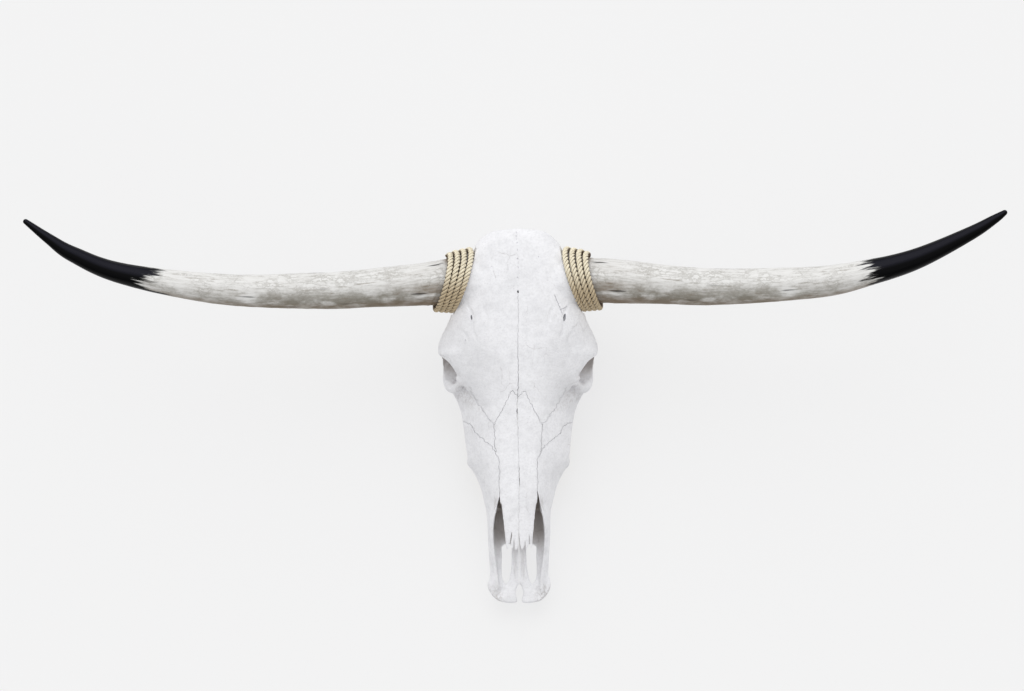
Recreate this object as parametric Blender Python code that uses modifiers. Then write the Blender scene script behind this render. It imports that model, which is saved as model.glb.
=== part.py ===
"""Longhorn steer skull, bleached, lying face up on its cheek teeth and jugular processes, with a rope
bound round the root of each horn. Metres, +Z up, nose towards -Y, poll towards +Y.

The bones are modelled whole: simple forms for each bone are fused by a voxel remesh, the cavities are
cut out, and thin cuts along the sutures part the skull into its bones. The right side is modelled and
mirrored. The horns and ropes follow two measured horn lines, which differ a little left from right.
"""
import math

import bmesh
import bpy
from mathutils import Euler, Matrix, Vector

# Driving dimensions. Heights are above the floor, stations run along the skull (0 at the root of the nose).
VOXEL = 0.0025              # grid of the remesh that fuses the bones
BONE_FACES = 4020           # triangles kept for all the skull bones together, before the sutures
SUTURE = 0.0004             # width of the cuts between bones
SUTURE_OVERRUN = 0.0002     # by which two cuts that meet run past each other
CRUMB_VOLUME = 1e-7         # a loose flake smaller than this is dropped
FLOOR_BLOCK = (0.5, 0.8, 0.03)      # size of the block that trims the feet of the skull flat

# Colour and roughness of each sort of sub-part.
BONE_LOOK = ((0.86, 0.86, 0.84), 0.7)
HORN_LOOK = ((0.66, 0.61, 0.53), 0.35)
ROPE_LOOK = ((0.60, 0.49, 0.33), 0.9)
SHARP_ANGLE = math.radians(40)      # edges sharper than this stay hard in the shading

# Rim of the eye socket: distance from the midline, station, height, thickness (as a radius).
ORBIT_RIM = (
    (0.1130, 0.0715, 0.1500, 0.0060), (0.1050, 0.0560, 0.1520, 0.0060), (0.0940, 0.0420, 0.1465, 0.0060),
    (0.0870, 0.0310, 0.1360, 0.0065), (0.0870, 0.0245, 0.1200, 0.0070), (0.0940, 0.0215, 0.1060, 0.0075),
    (0.1030, 0.0265, 0.0985, 0.0075), (0.1080, 0.0380, 0.0960, 0.0070), (0.1085, 0.0540, 0.0990, 0.0065),
    (0.1105, 0.0670, 0.1090, 0.0060), (0.1120, 0.0735, 0.1240, 0.0060), (0.1130, 0.0755, 0.1380, 0.0060),
)
ORBIT_CAVITY = (0.0855, 0.0577, 0.1240)
ORBIT_CAVITY_RADII = (0.052, 0.0268, 0.0255)
ORBIT_FACING = -0.505       # turn of the socket towards the nose

# Cheek teeth, back to front: length, distance from the midline, half width.
TEETH = ((0.030, 0.0600, 0.0115), (0.026, 0.0615, 0.0118), (0.023, 0.0600, 0.0115),
         (0.018, 0.0540, 0.0100), (0.018, 0.0470, 0.0092), (0.015, 0.0410, 0.0080))
TEETH_BACK = -0.004
PREMOLAR_START = -0.055     # station from which the teeth rise off the floor, and the slope they rise by
PREMOLAR_RISE = 0.11
TOOTH_GAP = 0.98            # length of a tooth over its share of the row
TOOTH_PLAN = ((-1, -0.8), (-0.8, -1), (0.8, -1), (1, -0.75), (0.86, 0), (1, 0.75), (0.8, 1), (-0.8, 1),
              (-1, 0.8))    # outline of a tooth from below, with the groove in its outer side

# Horn lines: distance from the midline, station, height, radius.
HORN_RIGHT = (
    (0.0400, 0.1850, 0.1600, 0.0365), (0.0990, 0.1785, 0.1720, 0.0361), (0.1220, 0.1755, 0.1780, 0.0335),
    (0.1530, 0.1720, 0.1870, 0.0331), (0.2277, 0.1638, 0.2010, 0.0291), (0.3021, 0.1577, 0.2130, 0.0271),
    (0.4499, 0.1604, 0.2345, 0.0232), (0.5965, 0.1927, 0.2590, 0.0153), (0.6692, 0.2240, 0.2760, 0.0104),
    (0.7053, 0.2439, 0.2850, 0.0068), (0.7231, 0.2550, 0.2910, 0.0034),
)
HORN_LEFT = (
    (0.0400, 0.1850, 0.1600, 0.0365), (0.0990, 0.1765, 0.1720, 0.0361), (0.1220, 0.1725, 0.1780, 0.0333),
    (0.1424, 0.1676, 0.1840, 0.0332), (0.2172, 0.1584, 0.2010, 0.0298), (0.2915, 0.1519, 0.2130, 0.0272),
    (0.4392, 0.1487, 0.2345, 0.0230), (0.5855, 0.1669, 0.2590, 0.0157), (0.6579, 0.1913, 0.2760, 0.0130),
    (0.6940, 0.2132, 0.2850, 0.0094), (0.7308, 0.2413, 0.2910, 0.0036),
)
HORN_STEPS = 2
HORN_ROUNDNESS = 6          # bevel resolution, which gives 16 sides
HORN_JOINT = 0.0990         # distance of the joint between horn and bone core from the midline
HORN_GAP = 0.0004

# Rope round each horn root. Its turns lie in slanted planes that run outwards towards the nose, and
# widen towards the skull.
ROPE_PLANE = Vector((0.945, 0.232, 0.230))
ROPE_RADIUS = 0.0044
ROPE_TURNS = 4
ROPE_PITCH = 0.0099
ROPE_POINTS_PER_TURN = 14
ROPE_GAP = 0.0006
ROPE_START_ANGLE = 3.0      # both ends lie on the side of the poll
ROOT_RADIUS = 0.0350        # of the horn at the outermost turn of rope
ROOT_FLARE = 0.13           # growth of that radius towards the skull
ROPE_BED_RADIUS = 0.0520

# Forehead and braincase: station, crown height, brow half width and height, waist half width and height
# (the wall of the temporal fossa), base half width and height.
VAULT = (
    (0.2500, 0.2030, 0.010, 0.200, 0.006, 0.190, 0.004, 0.180),
    (0.2465, 0.2080, 0.040, 0.196, 0.040, 0.165, 0.020, 0.120),
    (0.2360, 0.2105, 0.056, 0.193, 0.053, 0.145, 0.040, 0.075),
    (0.2200, 0.2110, 0.069, 0.192, 0.058, 0.140, 0.048, 0.060),
    (0.2000, 0.2090, 0.074, 0.196, 0.057, 0.140, 0.048, 0.054),
    (0.1750, 0.2060, 0.080, 0.194, 0.055, 0.138, 0.045, 0.052),
    (0.1450, 0.2010, 0.095, 0.180, 0.054, 0.138, 0.041, 0.052),
    (0.1180, 0.1950, 0.103, 0.168, 0.052, 0.138, 0.037, 0.056),
    (0.0950, 0.1895, 0.114, 0.160, 0.050, 0.134, 0.034, 0.060),
    (0.0780, 0.1850, 0.120, 0.157, 0.049, 0.130, 0.032, 0.063),
    (0.0660, 0.1815, 0.119, 0.156, 0.048, 0.128, 0.031, 0.066),
    (0.0540, 0.1780, 0.107, 0.155, 0.047, 0.125, 0.030, 0.069),
    (0.0400, 0.1740, 0.094, 0.149, 0.046, 0.120, 0.030, 0.073),
    (0.0200, 0.1680, 0.081, 0.140, 0.046, 0.114, 0.030, 0.077),
    (0.0000, 0.1605, 0.064, 0.134, 0.044, 0.110, 0.030, 0.080),
    (-0.0250, 0.1500, 0.048, 0.128, 0.036, 0.100, 0.026, 0.080),
)
# Face: station, roof height, nasal half width, cheek half width and height, alveolar half width and height,
# palate height.
FACE = (
    (0.0300, 0.1665, 0.038, 0.084, 0.106, 0.062, 0.055, 0.060),
    (0.0140, 0.1650, 0.036, 0.089, 0.101, 0.067, 0.030, 0.049),
    (0.0000, 0.1610, 0.035, 0.0895, 0.095, 0.070, 0.022, 0.044),
    (-0.0160, 0.1565, 0.035, 0.0865, 0.090, 0.071, 0.018, 0.043),
    (-0.0380, 0.1510, 0.035, 0.0828, 0.085, 0.071, 0.018, 0.043),
    (-0.0600, 0.1465, 0.033, 0.0805, 0.080, 0.070, 0.019, 0.044),
    (-0.0840, 0.1420, 0.031, 0.0770, 0.076, 0.068, 0.021, 0.045),
    (-0.0980, 0.1390, 0.030, 0.0713, 0.073, 0.063, 0.023, 0.045),
    (-0.1130, 0.1360, 0.0295, 0.0630, 0.071, 0.056, 0.026, 0.046),
    (-0.1290, 0.1325, 0.029, 0.0570, 0.069, 0.049, 0.031, 0.046),
    (-0.1440, 0.1280, 0.0285, 0.0533, 0.066, 0.0445, 0.037, 0.047),
    (-0.1560, 0.1180, 0.027, 0.0508, 0.062, 0.0425, 0.040, 0.047),
)
# Free end of the nasal bones: station, top height, half width, thickness.
NASAL_TIP = (
    (-0.130, 0.1325, 0.0285, 0.010), (-0.150, 0.1280, 0.0275, 0.008), (-0.177, 0.1210, 0.0245, 0.0065),
    (-0.203, 0.1130, 0.0217, 0.0055), (-0.222, 0.1055, 0.0203, 0.0055),
)
# Side wall of the incisive bone: station, then the middle of its upper edge (distance from the midline,
# height), the middle of its lower edge, and half its thickness.
INCISIVE_WALL = (
    (-0.132, 0.0300, 0.1220, 0.0490, 0.055, 0.0045),
    (-0.150, 0.0315, 0.1130, 0.0488, 0.052, 0.0036),
    (-0.168, 0.0375, 0.1010, 0.0472, 0.049, 0.0030),
    (-0.200, 0.0405, 0.0800, 0.0460, 0.043, 0.0030),
    (-0.233, 0.0380, 0.0610, 0.0440, 0.036, 0.0032),
    (-0.254, 0.0355, 0.0500, 0.0425, 0.031, 0.0038),
    (-0.272, 0.0350, 0.0420, 0.0420, 0.031, 0.0042),
)
# Outline of the incisive body and its palatine process, seen from above (distance from midline, station).
INCISIVE_PLATE = (
    (-0.001, -0.266), (0.0064, -0.278), (0.0074, -0.285), (0.0046, -0.2965), (0.0130, -0.2985),
    (0.026, -0.2970), (0.0345, -0.2935), (0.0420, -0.2860), (0.0470, -0.2775), (0.0485, -0.2700),
    (0.046, -0.2600), (0.0440, -0.2480), (0.0450, -0.2100), (0.0300, -0.2060), (0.0265, -0.2200),
    (0.0268, -0.2440), (0.0262, -0.2590), (0.0235, -0.2670), (0.0190, -0.2700), (0.0155, -0.2620),
    (0.0120, -0.2440), (0.0110, -0.2200), (0.0095, -0.2040), (-0.001, -0.2020),
)
INCISIVE_PLATE_HEIGHT = 0.033
INCISIVE_PLATE_THICKNESS = 0.011
INCISIVE_PLATE_RISE = 0.12      # slope of the plate, up towards the back

# Sutures seen from above, from the midline or the nose outwards (distance from the midline, station).
NASAL_OUTLINE = (
    (0.0000, 0.0000), (0.0040, 0.0030), (0.0098, 0.0080), (0.0150, -0.0020), (0.0225, -0.0160),
    (0.0302, -0.0293), (0.0362, -0.0401), (0.0355, -0.0560), (0.0342, -0.0799), (0.0290, -0.0930),
    (0.0288, -0.1470), (0.0288, -0.1630),
)
CHEEK_SUTURE = ((0.0342, -0.0799), (0.0450, -0.0666), (0.0554, -0.0573), (0.0639, -0.0481),
                (0.0754, -0.0311), (0.1150, -0.0150))
INCISIVE_SUTURE = (Vector((0, -0.150, 0.124)), Vector((0, -0.206, 0.020)))    # its upper and lower ends
NASAL_FLOOR = (0.1465, 0.235)       # underside of the nasal bones: height at the root of the nose, and slope
CHEEK_PARTING = 0.088       # height at which the cheek suture turns back under the eye socket
JAW_BACK = 0.016            # station behind the last molar, where that suture turns down


# ---- general helpers -----------------------------------------------------------------------------

def clear_scene():
    for existing in list(bpy.data.objects):
        bpy.data.objects.remove(existing, do_unlink=True)


def collection(name):
    made = bpy.data.collections.new(name)
    bpy.context.scene.collection.children.link(made)
    return made


def material(name, colour, roughness):
    made = bpy.data.materials.new(name)
    made.use_nodes = True
    shader = made.node_tree.nodes["Principled BSDF"]
    shader.inputs["Base Color"].default_value = (*colour, 1)
    shader.inputs["Roughness"].default_value = roughness
    shader.inputs["Metallic"].default_value = 0
    return made


def curve_through(rows, steps):
    """Rows of numbers on a Catmull-Rom curve through the given rows, with this many steps between two."""
    ends = [[2 * a - b for a, b in zip(rows[0], rows[1])], [2 * a - b for a, b in zip(rows[-1], rows[-2])]]
    padded = [ends[0], *rows, ends[1]]
    made = []
    for a, b, c, d in zip(padded, padded[1:], padded[2:], padded[3:]):
        for step in range(steps):
            t = step / steps
            made.append([
                0.5 * (2 * q + (r - p) * t + (2 * p - 5 * q + 4 * r - s) * t * t
                       + (3 * q - p - 3 * r + s) * t ** 3)
                for p, q, r, s in zip(a, b, c, d)
            ])
    made.append(list(rows[-1]))
    return made


def mesh_object(name, mesh, group):
    made = bpy.data.objects.new(name, mesh)
    group.objects.link(made)
    return made


def loft(name, rings, group, closed=False):
    """A tube through rings of points, each ring with as many points. It is capped at both ends, or runs
    back into its first ring."""
    bm = bmesh.new()
    rows = [[bm.verts.new(point) for point in ring] for ring in rings]
    pairs = list(zip(rows, rows[1:]))
    if closed:
        pairs.append((rows[-1], rows[0]))
    else:
        bm.faces.new(rows[0])
        bm.faces.new(rows[-1])
    for near, far in pairs:
        for i in range(len(near)):
            j = (i + 1) % len(near)
            bm.faces.new((near[i], near[j], far[j], far[i]))
    bmesh.ops.recalc_face_normals(bm, faces=bm.faces)
    mesh = bpy.data.meshes.new(name)
    bm.to_mesh(mesh)
    bm.free()
    return mesh_object(name, mesh, group)


def whole_ring(half, station):
    """A ring across the skull from the right half of its section, given from top to bottom."""
    smooth = curve_through(half, 4)
    right = [(x, station, z) for x, z in smooth]
    left = [(-x, station, z) for x, z in reversed(smooth[1:-1])]
    return right + left


def ellipse_ring(x, station, z, half_width, half_height, sides=16):
    turns = [2 * math.pi * i / sides for i in range(sides)]
    return [(x + half_width * math.cos(a), station, z + half_height * math.sin(a)) for a in turns]


def ball(name, centre, radii, group, turn=(0, 0, 0)):
    """An ellipsoid, turned about X, then Y, then Z by the three angles."""
    bm = bmesh.new()
    bmesh.ops.create_uvsphere(bm, u_segments=20, v_segments=12, radius=1)
    mesh = bpy.data.meshes.new(name)
    bm.to_mesh(mesh)
    bm.free()
    mesh.transform(Matrix.LocRotScale(Vector(centre), Euler(turn), Vector(radii)))
    return mesh_object(name, mesh, group)


def rod(name, points, group, steps=4, resolution=3, closed=False):
    """A round bar through points (x, y, z, radius), made as a bevelled curve and then a mesh."""
    curve = bpy.data.curves.new(name, "CURVE")
    curve.dimensions = "3D"
    curve.bevel_depth = 1
    curve.bevel_resolution = resolution
    curve.use_fill_caps = True
    path = points if closed else curve_through(points, steps)
    spline = curve.splines.new("POLY")
    spline.points.add(len(path) - 1)
    spline.use_cyclic_u = closed
    for point, (x, y, z, radius) in zip(spline.points, path):
        point.co = (x, y, z, 1)
        point.radius = radius
    source = bpy.data.objects.new(name + "_curve", curve)
    bpy.context.scene.collection.objects.link(source)
    return as_mesh(source, name, group)


def as_mesh(source, name, group):
    """The evaluated shape of an object as a new welded mesh object. The source is removed."""
    bpy.context.view_layer.update()
    graph = bpy.context.evaluated_depsgraph_get()
    mesh = bpy.data.meshes.new_from_object(source.evaluated_get(graph), depsgraph=graph)
    mesh.name = name
    bm = bmesh.new()
    bm.from_mesh(mesh)
    bmesh.ops.remove_doubles(bm, verts=bm.verts, dist=1e-6)
    bmesh.ops.recalc_face_normals(bm, faces=bm.faces)
    bm.to_mesh(mesh)
    bm.free()
    made = mesh_object(name, mesh, group)
    made.matrix_world = source.matrix_world
    bpy.data.objects.remove(source, do_unlink=True)
    return made


def plate(name, outline, height, thickness, group):
    """A flat piece from an outline seen from above."""
    curve = bpy.data.curves.new(name, "CURVE")
    curve.dimensions = "2D"
    curve.fill_mode = "BOTH"
    curve.extrude = thickness / 2
    path = curve_through([*outline, outline[0]], 3)[:-1]
    spline = curve.splines.new("POLY")
    spline.points.add(len(path) - 1)
    spline.use_cyclic_u = True
    for point, (x, y) in zip(spline.points, path):
        point.co = (x, y, 0, 1)
    source = bpy.data.objects.new(name + "_curve", curve)
    source.location.z = height
    bpy.context.scene.collection.objects.link(source)
    made = as_mesh(source, name, group)
    made.data.transform(made.matrix_world)
    made.matrix_world = Matrix.Identity(4)
    return made


def joined(name, parts, group):
    """One object that holds the meshes of all the parts, which are removed."""
    bm = bmesh.new()
    for part in parts:
        bm.from_mesh(part.data)
        bpy.data.objects.remove(part, do_unlink=True)
    mesh = bpy.data.meshes.new(name)
    bm.to_mesh(mesh)
    bm.free()
    return mesh_object(name, mesh, group)


def mirrored(source):
    """Adds the left side of a right-hand form to its own mesh."""
    bm = bmesh.new()
    bm.from_mesh(source.data)
    copied = bmesh.ops.duplicate(bm, geom=bm.verts[:] + bm.edges[:] + bm.faces[:])["geom"]
    corners = [item for item in copied if isinstance(item, bmesh.types.BMVert)]
    faces = [item for item in copied if isinstance(item, bmesh.types.BMFace)]
    for corner in corners:
        corner.co.x = -corner.co.x
    bmesh.ops.reverse_faces(bm, faces=faces)
    bm.to_mesh(source.data)
    bm.free()
    return source


def helper(made):
    made.hide_render = True
    made.display_type = "WIRE"
    return made


def remesh(target, size, smoothing):
    fuse = target.modifiers.new("fuse", "REMESH")
    fuse.mode = "VOXEL"
    fuse.voxel_size = size
    fuse.adaptivity = 0
    soften = target.modifiers.new("soften", "SMOOTH")
    soften.factor = 0.5
    soften.iterations = smoothing


def cut(target, cutter):
    step = target.modifiers.new("cut " + cutter.name, "BOOLEAN")
    step.operation = "DIFFERENCE"
    step.solver = "EXACT"
    step.object = helper(cutter)


# ---- forms of the skull bones --------------------------------------------------------------------

def vault_half(crown, brow_w, brow_z, waist_w, waist_z, base_w, base_z):
    drop = crown - brow_z
    return (
        (0, crown),
        (0.40 * brow_w, crown - 0.05 * drop),
        (0.78 * brow_w, crown - 0.40 * drop),
        (brow_w, brow_z),
        (0.94 * brow_w, brow_z - 0.010),
        (waist_w + 0.3 * (brow_w - waist_w), 0.75 * brow_z + 0.25 * waist_z),
        (waist_w, waist_z),
        (0.5 * (waist_w + base_w), 0.5 * (waist_z + base_z)),
        (base_w, base_z + 0.010),
        (0.6 * base_w, base_z),
        (0, base_z),
    )


def face_half(roof, nasal_w, cheek_w, cheek_z, alveolar_w, alveolar_z, palate_z):
    fall = roof - cheek_z
    return (
        (0, roof),
        (0.55 * nasal_w, roof - 0.0012),
        (nasal_w, roof - 0.0065),
        (nasal_w + 0.50 * (cheek_w - nasal_w), roof - 0.40 * fall),
        (nasal_w + 0.86 * (cheek_w - nasal_w), roof - 0.76 * fall),
        (cheek_w, cheek_z),
        (alveolar_w + 0.35 * (cheek_w - alveolar_w), 0.5 * (cheek_z + alveolar_z)),
        (alveolar_w, alveolar_z),
        (alveolar_w - 0.010, alveolar_z - 0.003),
        (alveolar_w - 0.021, alveolar_z),
        (alveolar_w - 0.029, palate_z - 0.004),
        (0.4 * alveolar_w, palate_z),
        (0, palate_z),
    )


def vault(group):
    rows = curve_through(VAULT, 4)
    return loft("vault", [whole_ring(vault_half(*row[1:]), row[0]) for row in rows], group)


def face(group):
    rows = curve_through(FACE, 4)
    return loft("face", [whole_ring(face_half(*row[1:]), row[0]) for row in rows], group)


def nasal_roof(group):
    """The free end of the two nasal bones, a low arch with a rounded edge."""
    rings = []
    for station, top, half_width, thickness in curve_through(NASAL_TIP, 3):
        across = [half_width * i / 8 for i in range(-8, 9)]
        upper = [(x, station, top - 0.006 * (x / half_width) ** 2) for x in across]
        lower = [(0.94 * x, station, z - thickness) for x, _, z in reversed(upper)]
        rings.append(upper + lower)
    return loft("nasal_roof", rings, group)


def orbit_rim(group):
    """The ring of bone round the eye socket, thickest below."""
    smooth = curve_through([ORBIT_RIM[-1], *ORBIT_RIM, ORBIT_RIM[0], ORBIT_RIM[1]], 3)[3:-4]
    return rod("orbit_rim", smooth, group, closed=True)


def cheekbone(group):
    """From the cheek under the eye socket back along the slender arch to the temporal bone."""
    return rod("cheekbone", (
        (0.072, -0.030, 0.086, 0.009), (0.0845, 0.006, 0.090, 0.0090), (0.096, 0.032, 0.092, 0.0100),
        (0.104, 0.062, 0.101, 0.0070), (0.101, 0.088, 0.107, 0.0065), (0.092, 0.116, 0.110, 0.0080),
        (0.078, 0.140, 0.112, 0.0115), (0.062, 0.162, 0.115, 0.015),
    ), group)


def horn_pedicle(group):
    return rod("pedicle", (
        (0.010, 0.180, 0.160, 0.028), (0.045, 0.1795, 0.160, 0.0395), (0.075, 0.1785, 0.166, 0.0420),
        (0.099, 0.1775, 0.172, 0.0395), (0.130, 0.1730, 0.181, 0.0370),
    ), group)


def back_of_skull(group):
    """Condyles, jugular processes, ear region, jaw joint and the bar of the skull base, on the right."""
    return [
        ball("nape_ridge", (0.036, 0.236, 0.176), (0.026, 0.012, 0.010), group, (0, 0.25, -0.25)),
        ball("condyle", (0.026, 0.240, 0.066), (0.015, 0.019, 0.026), group, (0.5, 0, 0.35)),
        rod("jugular", ((0.058, 0.196, 0.090, 0.014), (0.061, 0.204, 0.052, 0.0115),
                        (0.059, 0.208, 0.018, 0.0080), (0.057, 0.208, -0.004, 0.0062)), group),
        ball("mastoid", (0.063, 0.190, 0.106), (0.019, 0.030, 0.024), group),
        rod("nape_crest", ((0.048, 0.231, 0.172, 0.012), (0.056, 0.224, 0.146, 0.012),
                           (0.062, 0.210, 0.116, 0.013), (0.062, 0.202, 0.086, 0.014)), group),
        ball("ear_tube", (0.076, 0.166, 0.098), (0.012, 0.010, 0.009), group),
        ball("bulla", (0.041, 0.166, 0.053), (0.011, 0.022, 0.019), group, (0.2, 0.15, 0)),
        ball("jaw_joint", (0.070, 0.136, 0.106), (0.026, 0.015, 0.010), group),
        rod("petrous", ((0.020, 0.190, 0.075, 0.016), (0.050, 0.180, 0.080, 0.018),
                        (0.066, 0.170, 0.092, 0.014)), group),
        rod("wing", ((0.030, 0.120, 0.090, 0.014), (0.046, 0.130, 0.100, 0.013),
                     (0.062, 0.138, 0.106, 0.011)), group),
    ]


def nape_bump(group):
    """The knob in the middle of the back of the skull where the neck ligament held."""
    return ball("nape_bump", (0, 0.242, 0.146), (0.013, 0.009, 0.020), group, (0.1, 0, 0))


def skull_base(group):
    return rod("skull_base", (
        (0, 0.236, 0.062, 0.018), (0, 0.200, 0.058, 0.020), (0, 0.160, 0.060, 0.018),
        (0, 0.110, 0.070, 0.015), (0, 0.060, 0.084, 0.013),
    ), group)


def pterygoid(group):
    """The thin upright wall beside the inner nostril, with its hook."""
    rings = []
    for station, x, low, high, half_width in (
        (-0.006, 0.036, 0.040, 0.100, 0.006), (0.020, 0.033, 0.036, 0.100, 0.004),
        (0.045, 0.030, 0.030, 0.098, 0.0032), (0.066, 0.030, 0.024, 0.094, 0.003),
        (0.082, 0.029, 0.052, 0.092, 0.003), (0.104, 0.027, 0.066, 0.090, 0.004),
    ):
        rings.append(ellipse_ring(x, station, (low + high) / 2, half_width, (high - low) / 2))
    return loft("pterygoid", rings, group)


def palate_shelf(group):
    """The floor of the nose between the side walls, forward of the cheek teeth."""
    outline = ((-0.001, -0.130), (0.040, -0.130), (0.044, -0.170), (0.042, -0.205), (0.030, -0.213),
               (0.021, -0.209), (0.012, -0.209), (-0.001, -0.209))
    return plate("palate_shelf", outline, 0.047, 0.009, group)


def incisive_wall(group):
    """A thin wall that leans in towards the opening of the nose and falls away to the front."""
    rings = []
    for station, top_x, top_z, low_x, low_z, half_thickness in curve_through(INCISIVE_WALL, 3):
        middle = Vector(((top_x + low_x) / 2, station, (top_z + low_z) / 2))
        up = Vector((top_x, station, top_z)) - middle
        across = Vector((up.z, 0, -up.x)).normalized() * half_thickness
        up = up + up.normalized() * half_thickness
        turns = [2 * math.pi * i / 16 for i in range(16)]
        rings.append([middle + across * math.cos(a) + up * math.sin(a) for a in turns])
    return loft("incisive_wall", rings, group)


def incisive_plate(group):
    made = plate("incisive_plate", INCISIVE_PLATE, INCISIVE_PLATE_HEIGHT, INCISIVE_PLATE_THICKNESS, group)
    for vertex in made.data.vertices:
        vertex.co.z += INCISIVE_PLATE_RISE * (vertex.co.y + 0.275)
    return made


def facial_tuber(group):
    return ball("facial_tuber", (0.0665, -0.085, 0.073), (0.0128, 0.013, 0.013), group)


def cheek_teeth(group):
    """Six cheek teeth as one row of ridged blocks, rooted in the upper jaw. The molars reach the floor, the
    premolars rise from it."""
    made = []
    station = TEETH_BACK
    for length, x, half_width in TEETH:
        middle = station - length / 2
        rise = max(0.0, PREMOLAR_START - middle) * PREMOLAR_RISE
        half_length = length / 2 * TOOTH_GAP
        rings = [
            [(x + half_width * grow * a, middle + half_length * b, z) for a, b in TOOTH_PLAN]
            for z, grow in ((-0.004 + rise, 0.94), (0.010 + rise, 1.0), (0.036, 0.9))
        ]
        made.append(loft("tooth", rings, group))
        station -= length
    return made


# ---- cavities ------------------------------------------------------------------------------------

def orbit_cavity(group):
    return ball("orbit_cavity", ORBIT_CAVITY, ORBIT_CAVITY_RADII, group, (0, 0.08, ORBIT_FACING))


def nose_cavity(group):
    """The tunnel under the nasal bones, open in front and reaching back to the inner nostrils.
    A low ridge stands along the middle of its floor."""
    rows = (
        (-0.240, 0.034, 0.052, 0.098), (-0.205, 0.0365, 0.0525, 0.104), (-0.170, 0.0370, 0.0525, 0.1145),
        (-0.145, 0.0345, 0.053, 0.1195), (-0.100, 0.0345, 0.054, 0.1275), (-0.050, 0.036, 0.055, 0.1385),
        (-0.010, 0.034, 0.056, 0.147), (0.014, 0.026, 0.060, 0.138), (0.036, 0.018, 0.066, 0.100),
    )
    rings = []
    for station, half_width, low, high in curve_through(rows, 2):
        half = (
            (0, high),
            (0.66 * half_width, high - 0.0025),
            (0.92 * half_width, high - 0.012),
            (half_width, 0.5 * low + 0.5 * high),
            (0.9 * half_width, low + 0.006),
            (0.5 * half_width, low),
            (0.1 * half_width, low + 0.004),
            (0, low + 0.006),
        )
        rings.append(whole_ring(half, station))
    return loft("nose_cavity", rings, group)


def inner_nostril(group):
    """The channel between the pterygoid walls, from behind the palate forward into the nose."""
    rings = [whole_ring(((0, high), (wide, 0.5 * (low + high)), (0.8 * wide, low), (0, low)), station)
             for station, wide, low, high in (
                 (0.120, 0.020, 0.010, 0.060), (0.090, 0.024, 0.010, 0.068), (0.050, 0.025, 0.012, 0.076),
                 (0.020, 0.025, 0.030, 0.082), (-0.008, 0.022, 0.054, 0.090), (-0.030, 0.020, 0.058, 0.090))]
    return loft("inner_nostril", rings, group)


def foramen_magnum(group):
    return ball("foramen_magnum", (0, 0.250, 0.092), (0.018, 0.045, 0.016), group)


def brow_foramen(group):
    """The slit above each eye where the brow vessels leave the bone."""
    return ball("brow_foramen", (0.0695, 0.1165, 0.184), (0.0035, 0.0075, 0.012), group, (0, 0.25, -0.15))


def nasal_notches(group):
    """The split between the nasal tips and the notch in the end of each nasal bone."""
    middle = ((-0.0030, -0.230), (0.0030, -0.230), (0.0003, -0.208), (-0.0003, -0.208))
    side = ((0.0070, -0.230), (0.0155, -0.230), (0.0124, -0.2010), (0.0116, -0.2010))
    return [wedge("middle_notch", middle, group), mirrored(wedge("side_notch", side, group))]


def wedge(name, plan, group):
    return loft(name, [[(x, y, z) for x, y in plan] for z in (0.085, 0.130)], group)


def floor_block(group):
    bm = bmesh.new()
    place = Matrix.LocRotScale(Vector((0, 0, -FLOOR_BLOCK[2] / 2)), None, Vector(FLOOR_BLOCK))
    bmesh.ops.create_cube(bm, size=1, matrix=place)
    mesh = bpy.data.meshes.new("floor_block")
    bm.to_mesh(mesh)
    bm.free()
    return mesh_object("floor_block", mesh, group)


# ---- sutures -------------------------------------------------------------------------------------

def upright(name, path, low, high, group):
    """A thin wall that stands on a path seen from above, between two heights."""
    bm = bmesh.new()
    foot = [bm.verts.new((x, y, low)) for x, y in path]
    head = [bm.verts.new((x, y, high)) for x, y in path]
    for i in range(len(path) - 1):
        bm.faces.new((foot[i], foot[i + 1], head[i + 1], head[i]))
    return thin(name, bm, group)


def sheet(name, corners, group):
    """A thin flat sheet with the given corners."""
    bm = bmesh.new()
    bm.faces.new([bm.verts.new(corner) for corner in corners])
    return thin(name, bm, group)


def thin(name, bm, group):
    mesh = bpy.data.meshes.new(name)
    bm.to_mesh(mesh)
    bm.free()
    source = bpy.data.objects.new(name + "_surface", mesh)
    bpy.context.scene.collection.objects.link(source)
    shell = source.modifiers.new("thickness", "SOLIDIFY")
    shell.thickness = SUTURE
    shell.offset = 0
    shell.use_even_offset = True
    return as_mesh(source, name, group)


def nasal_floor(station):
    height, slope = NASAL_FLOOR
    return height + slope * station


def nasal_parting(group):
    """Cuts round the outline of the nasal bones and under them."""
    path = [(-x, y) for x, y in reversed(NASAL_OUTLINE[1:])] + list(NASAL_OUTLINE)
    walls = upright("nasal_walls", path, 0.100, 0.200, group)
    for vertex in walls.data.vertices:
        if vertex.co.z < 0.150:
            vertex.co.z = nasal_floor(vertex.co.y) - 0.005
    return [walls, sheet("nasal_underside", [(x, y, nasal_floor(y)) for x, y in path], group)]


def middle_parting(group):
    """The seam between the right and left bones of the face."""
    back = JAW_BACK + SUTURE_OVERRUN
    top = CHEEK_PARTING + SUTURE_OVERRUN
    root = 0.001 + SUTURE_OVERRUN
    outline = ((-0.32, -0.02), (back, -0.02), (back, top), (root, top), (root, 0.21), (-0.32, 0.21))
    return [sheet("middle", [(0, y, z) for y, z in outline], group)]


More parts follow.
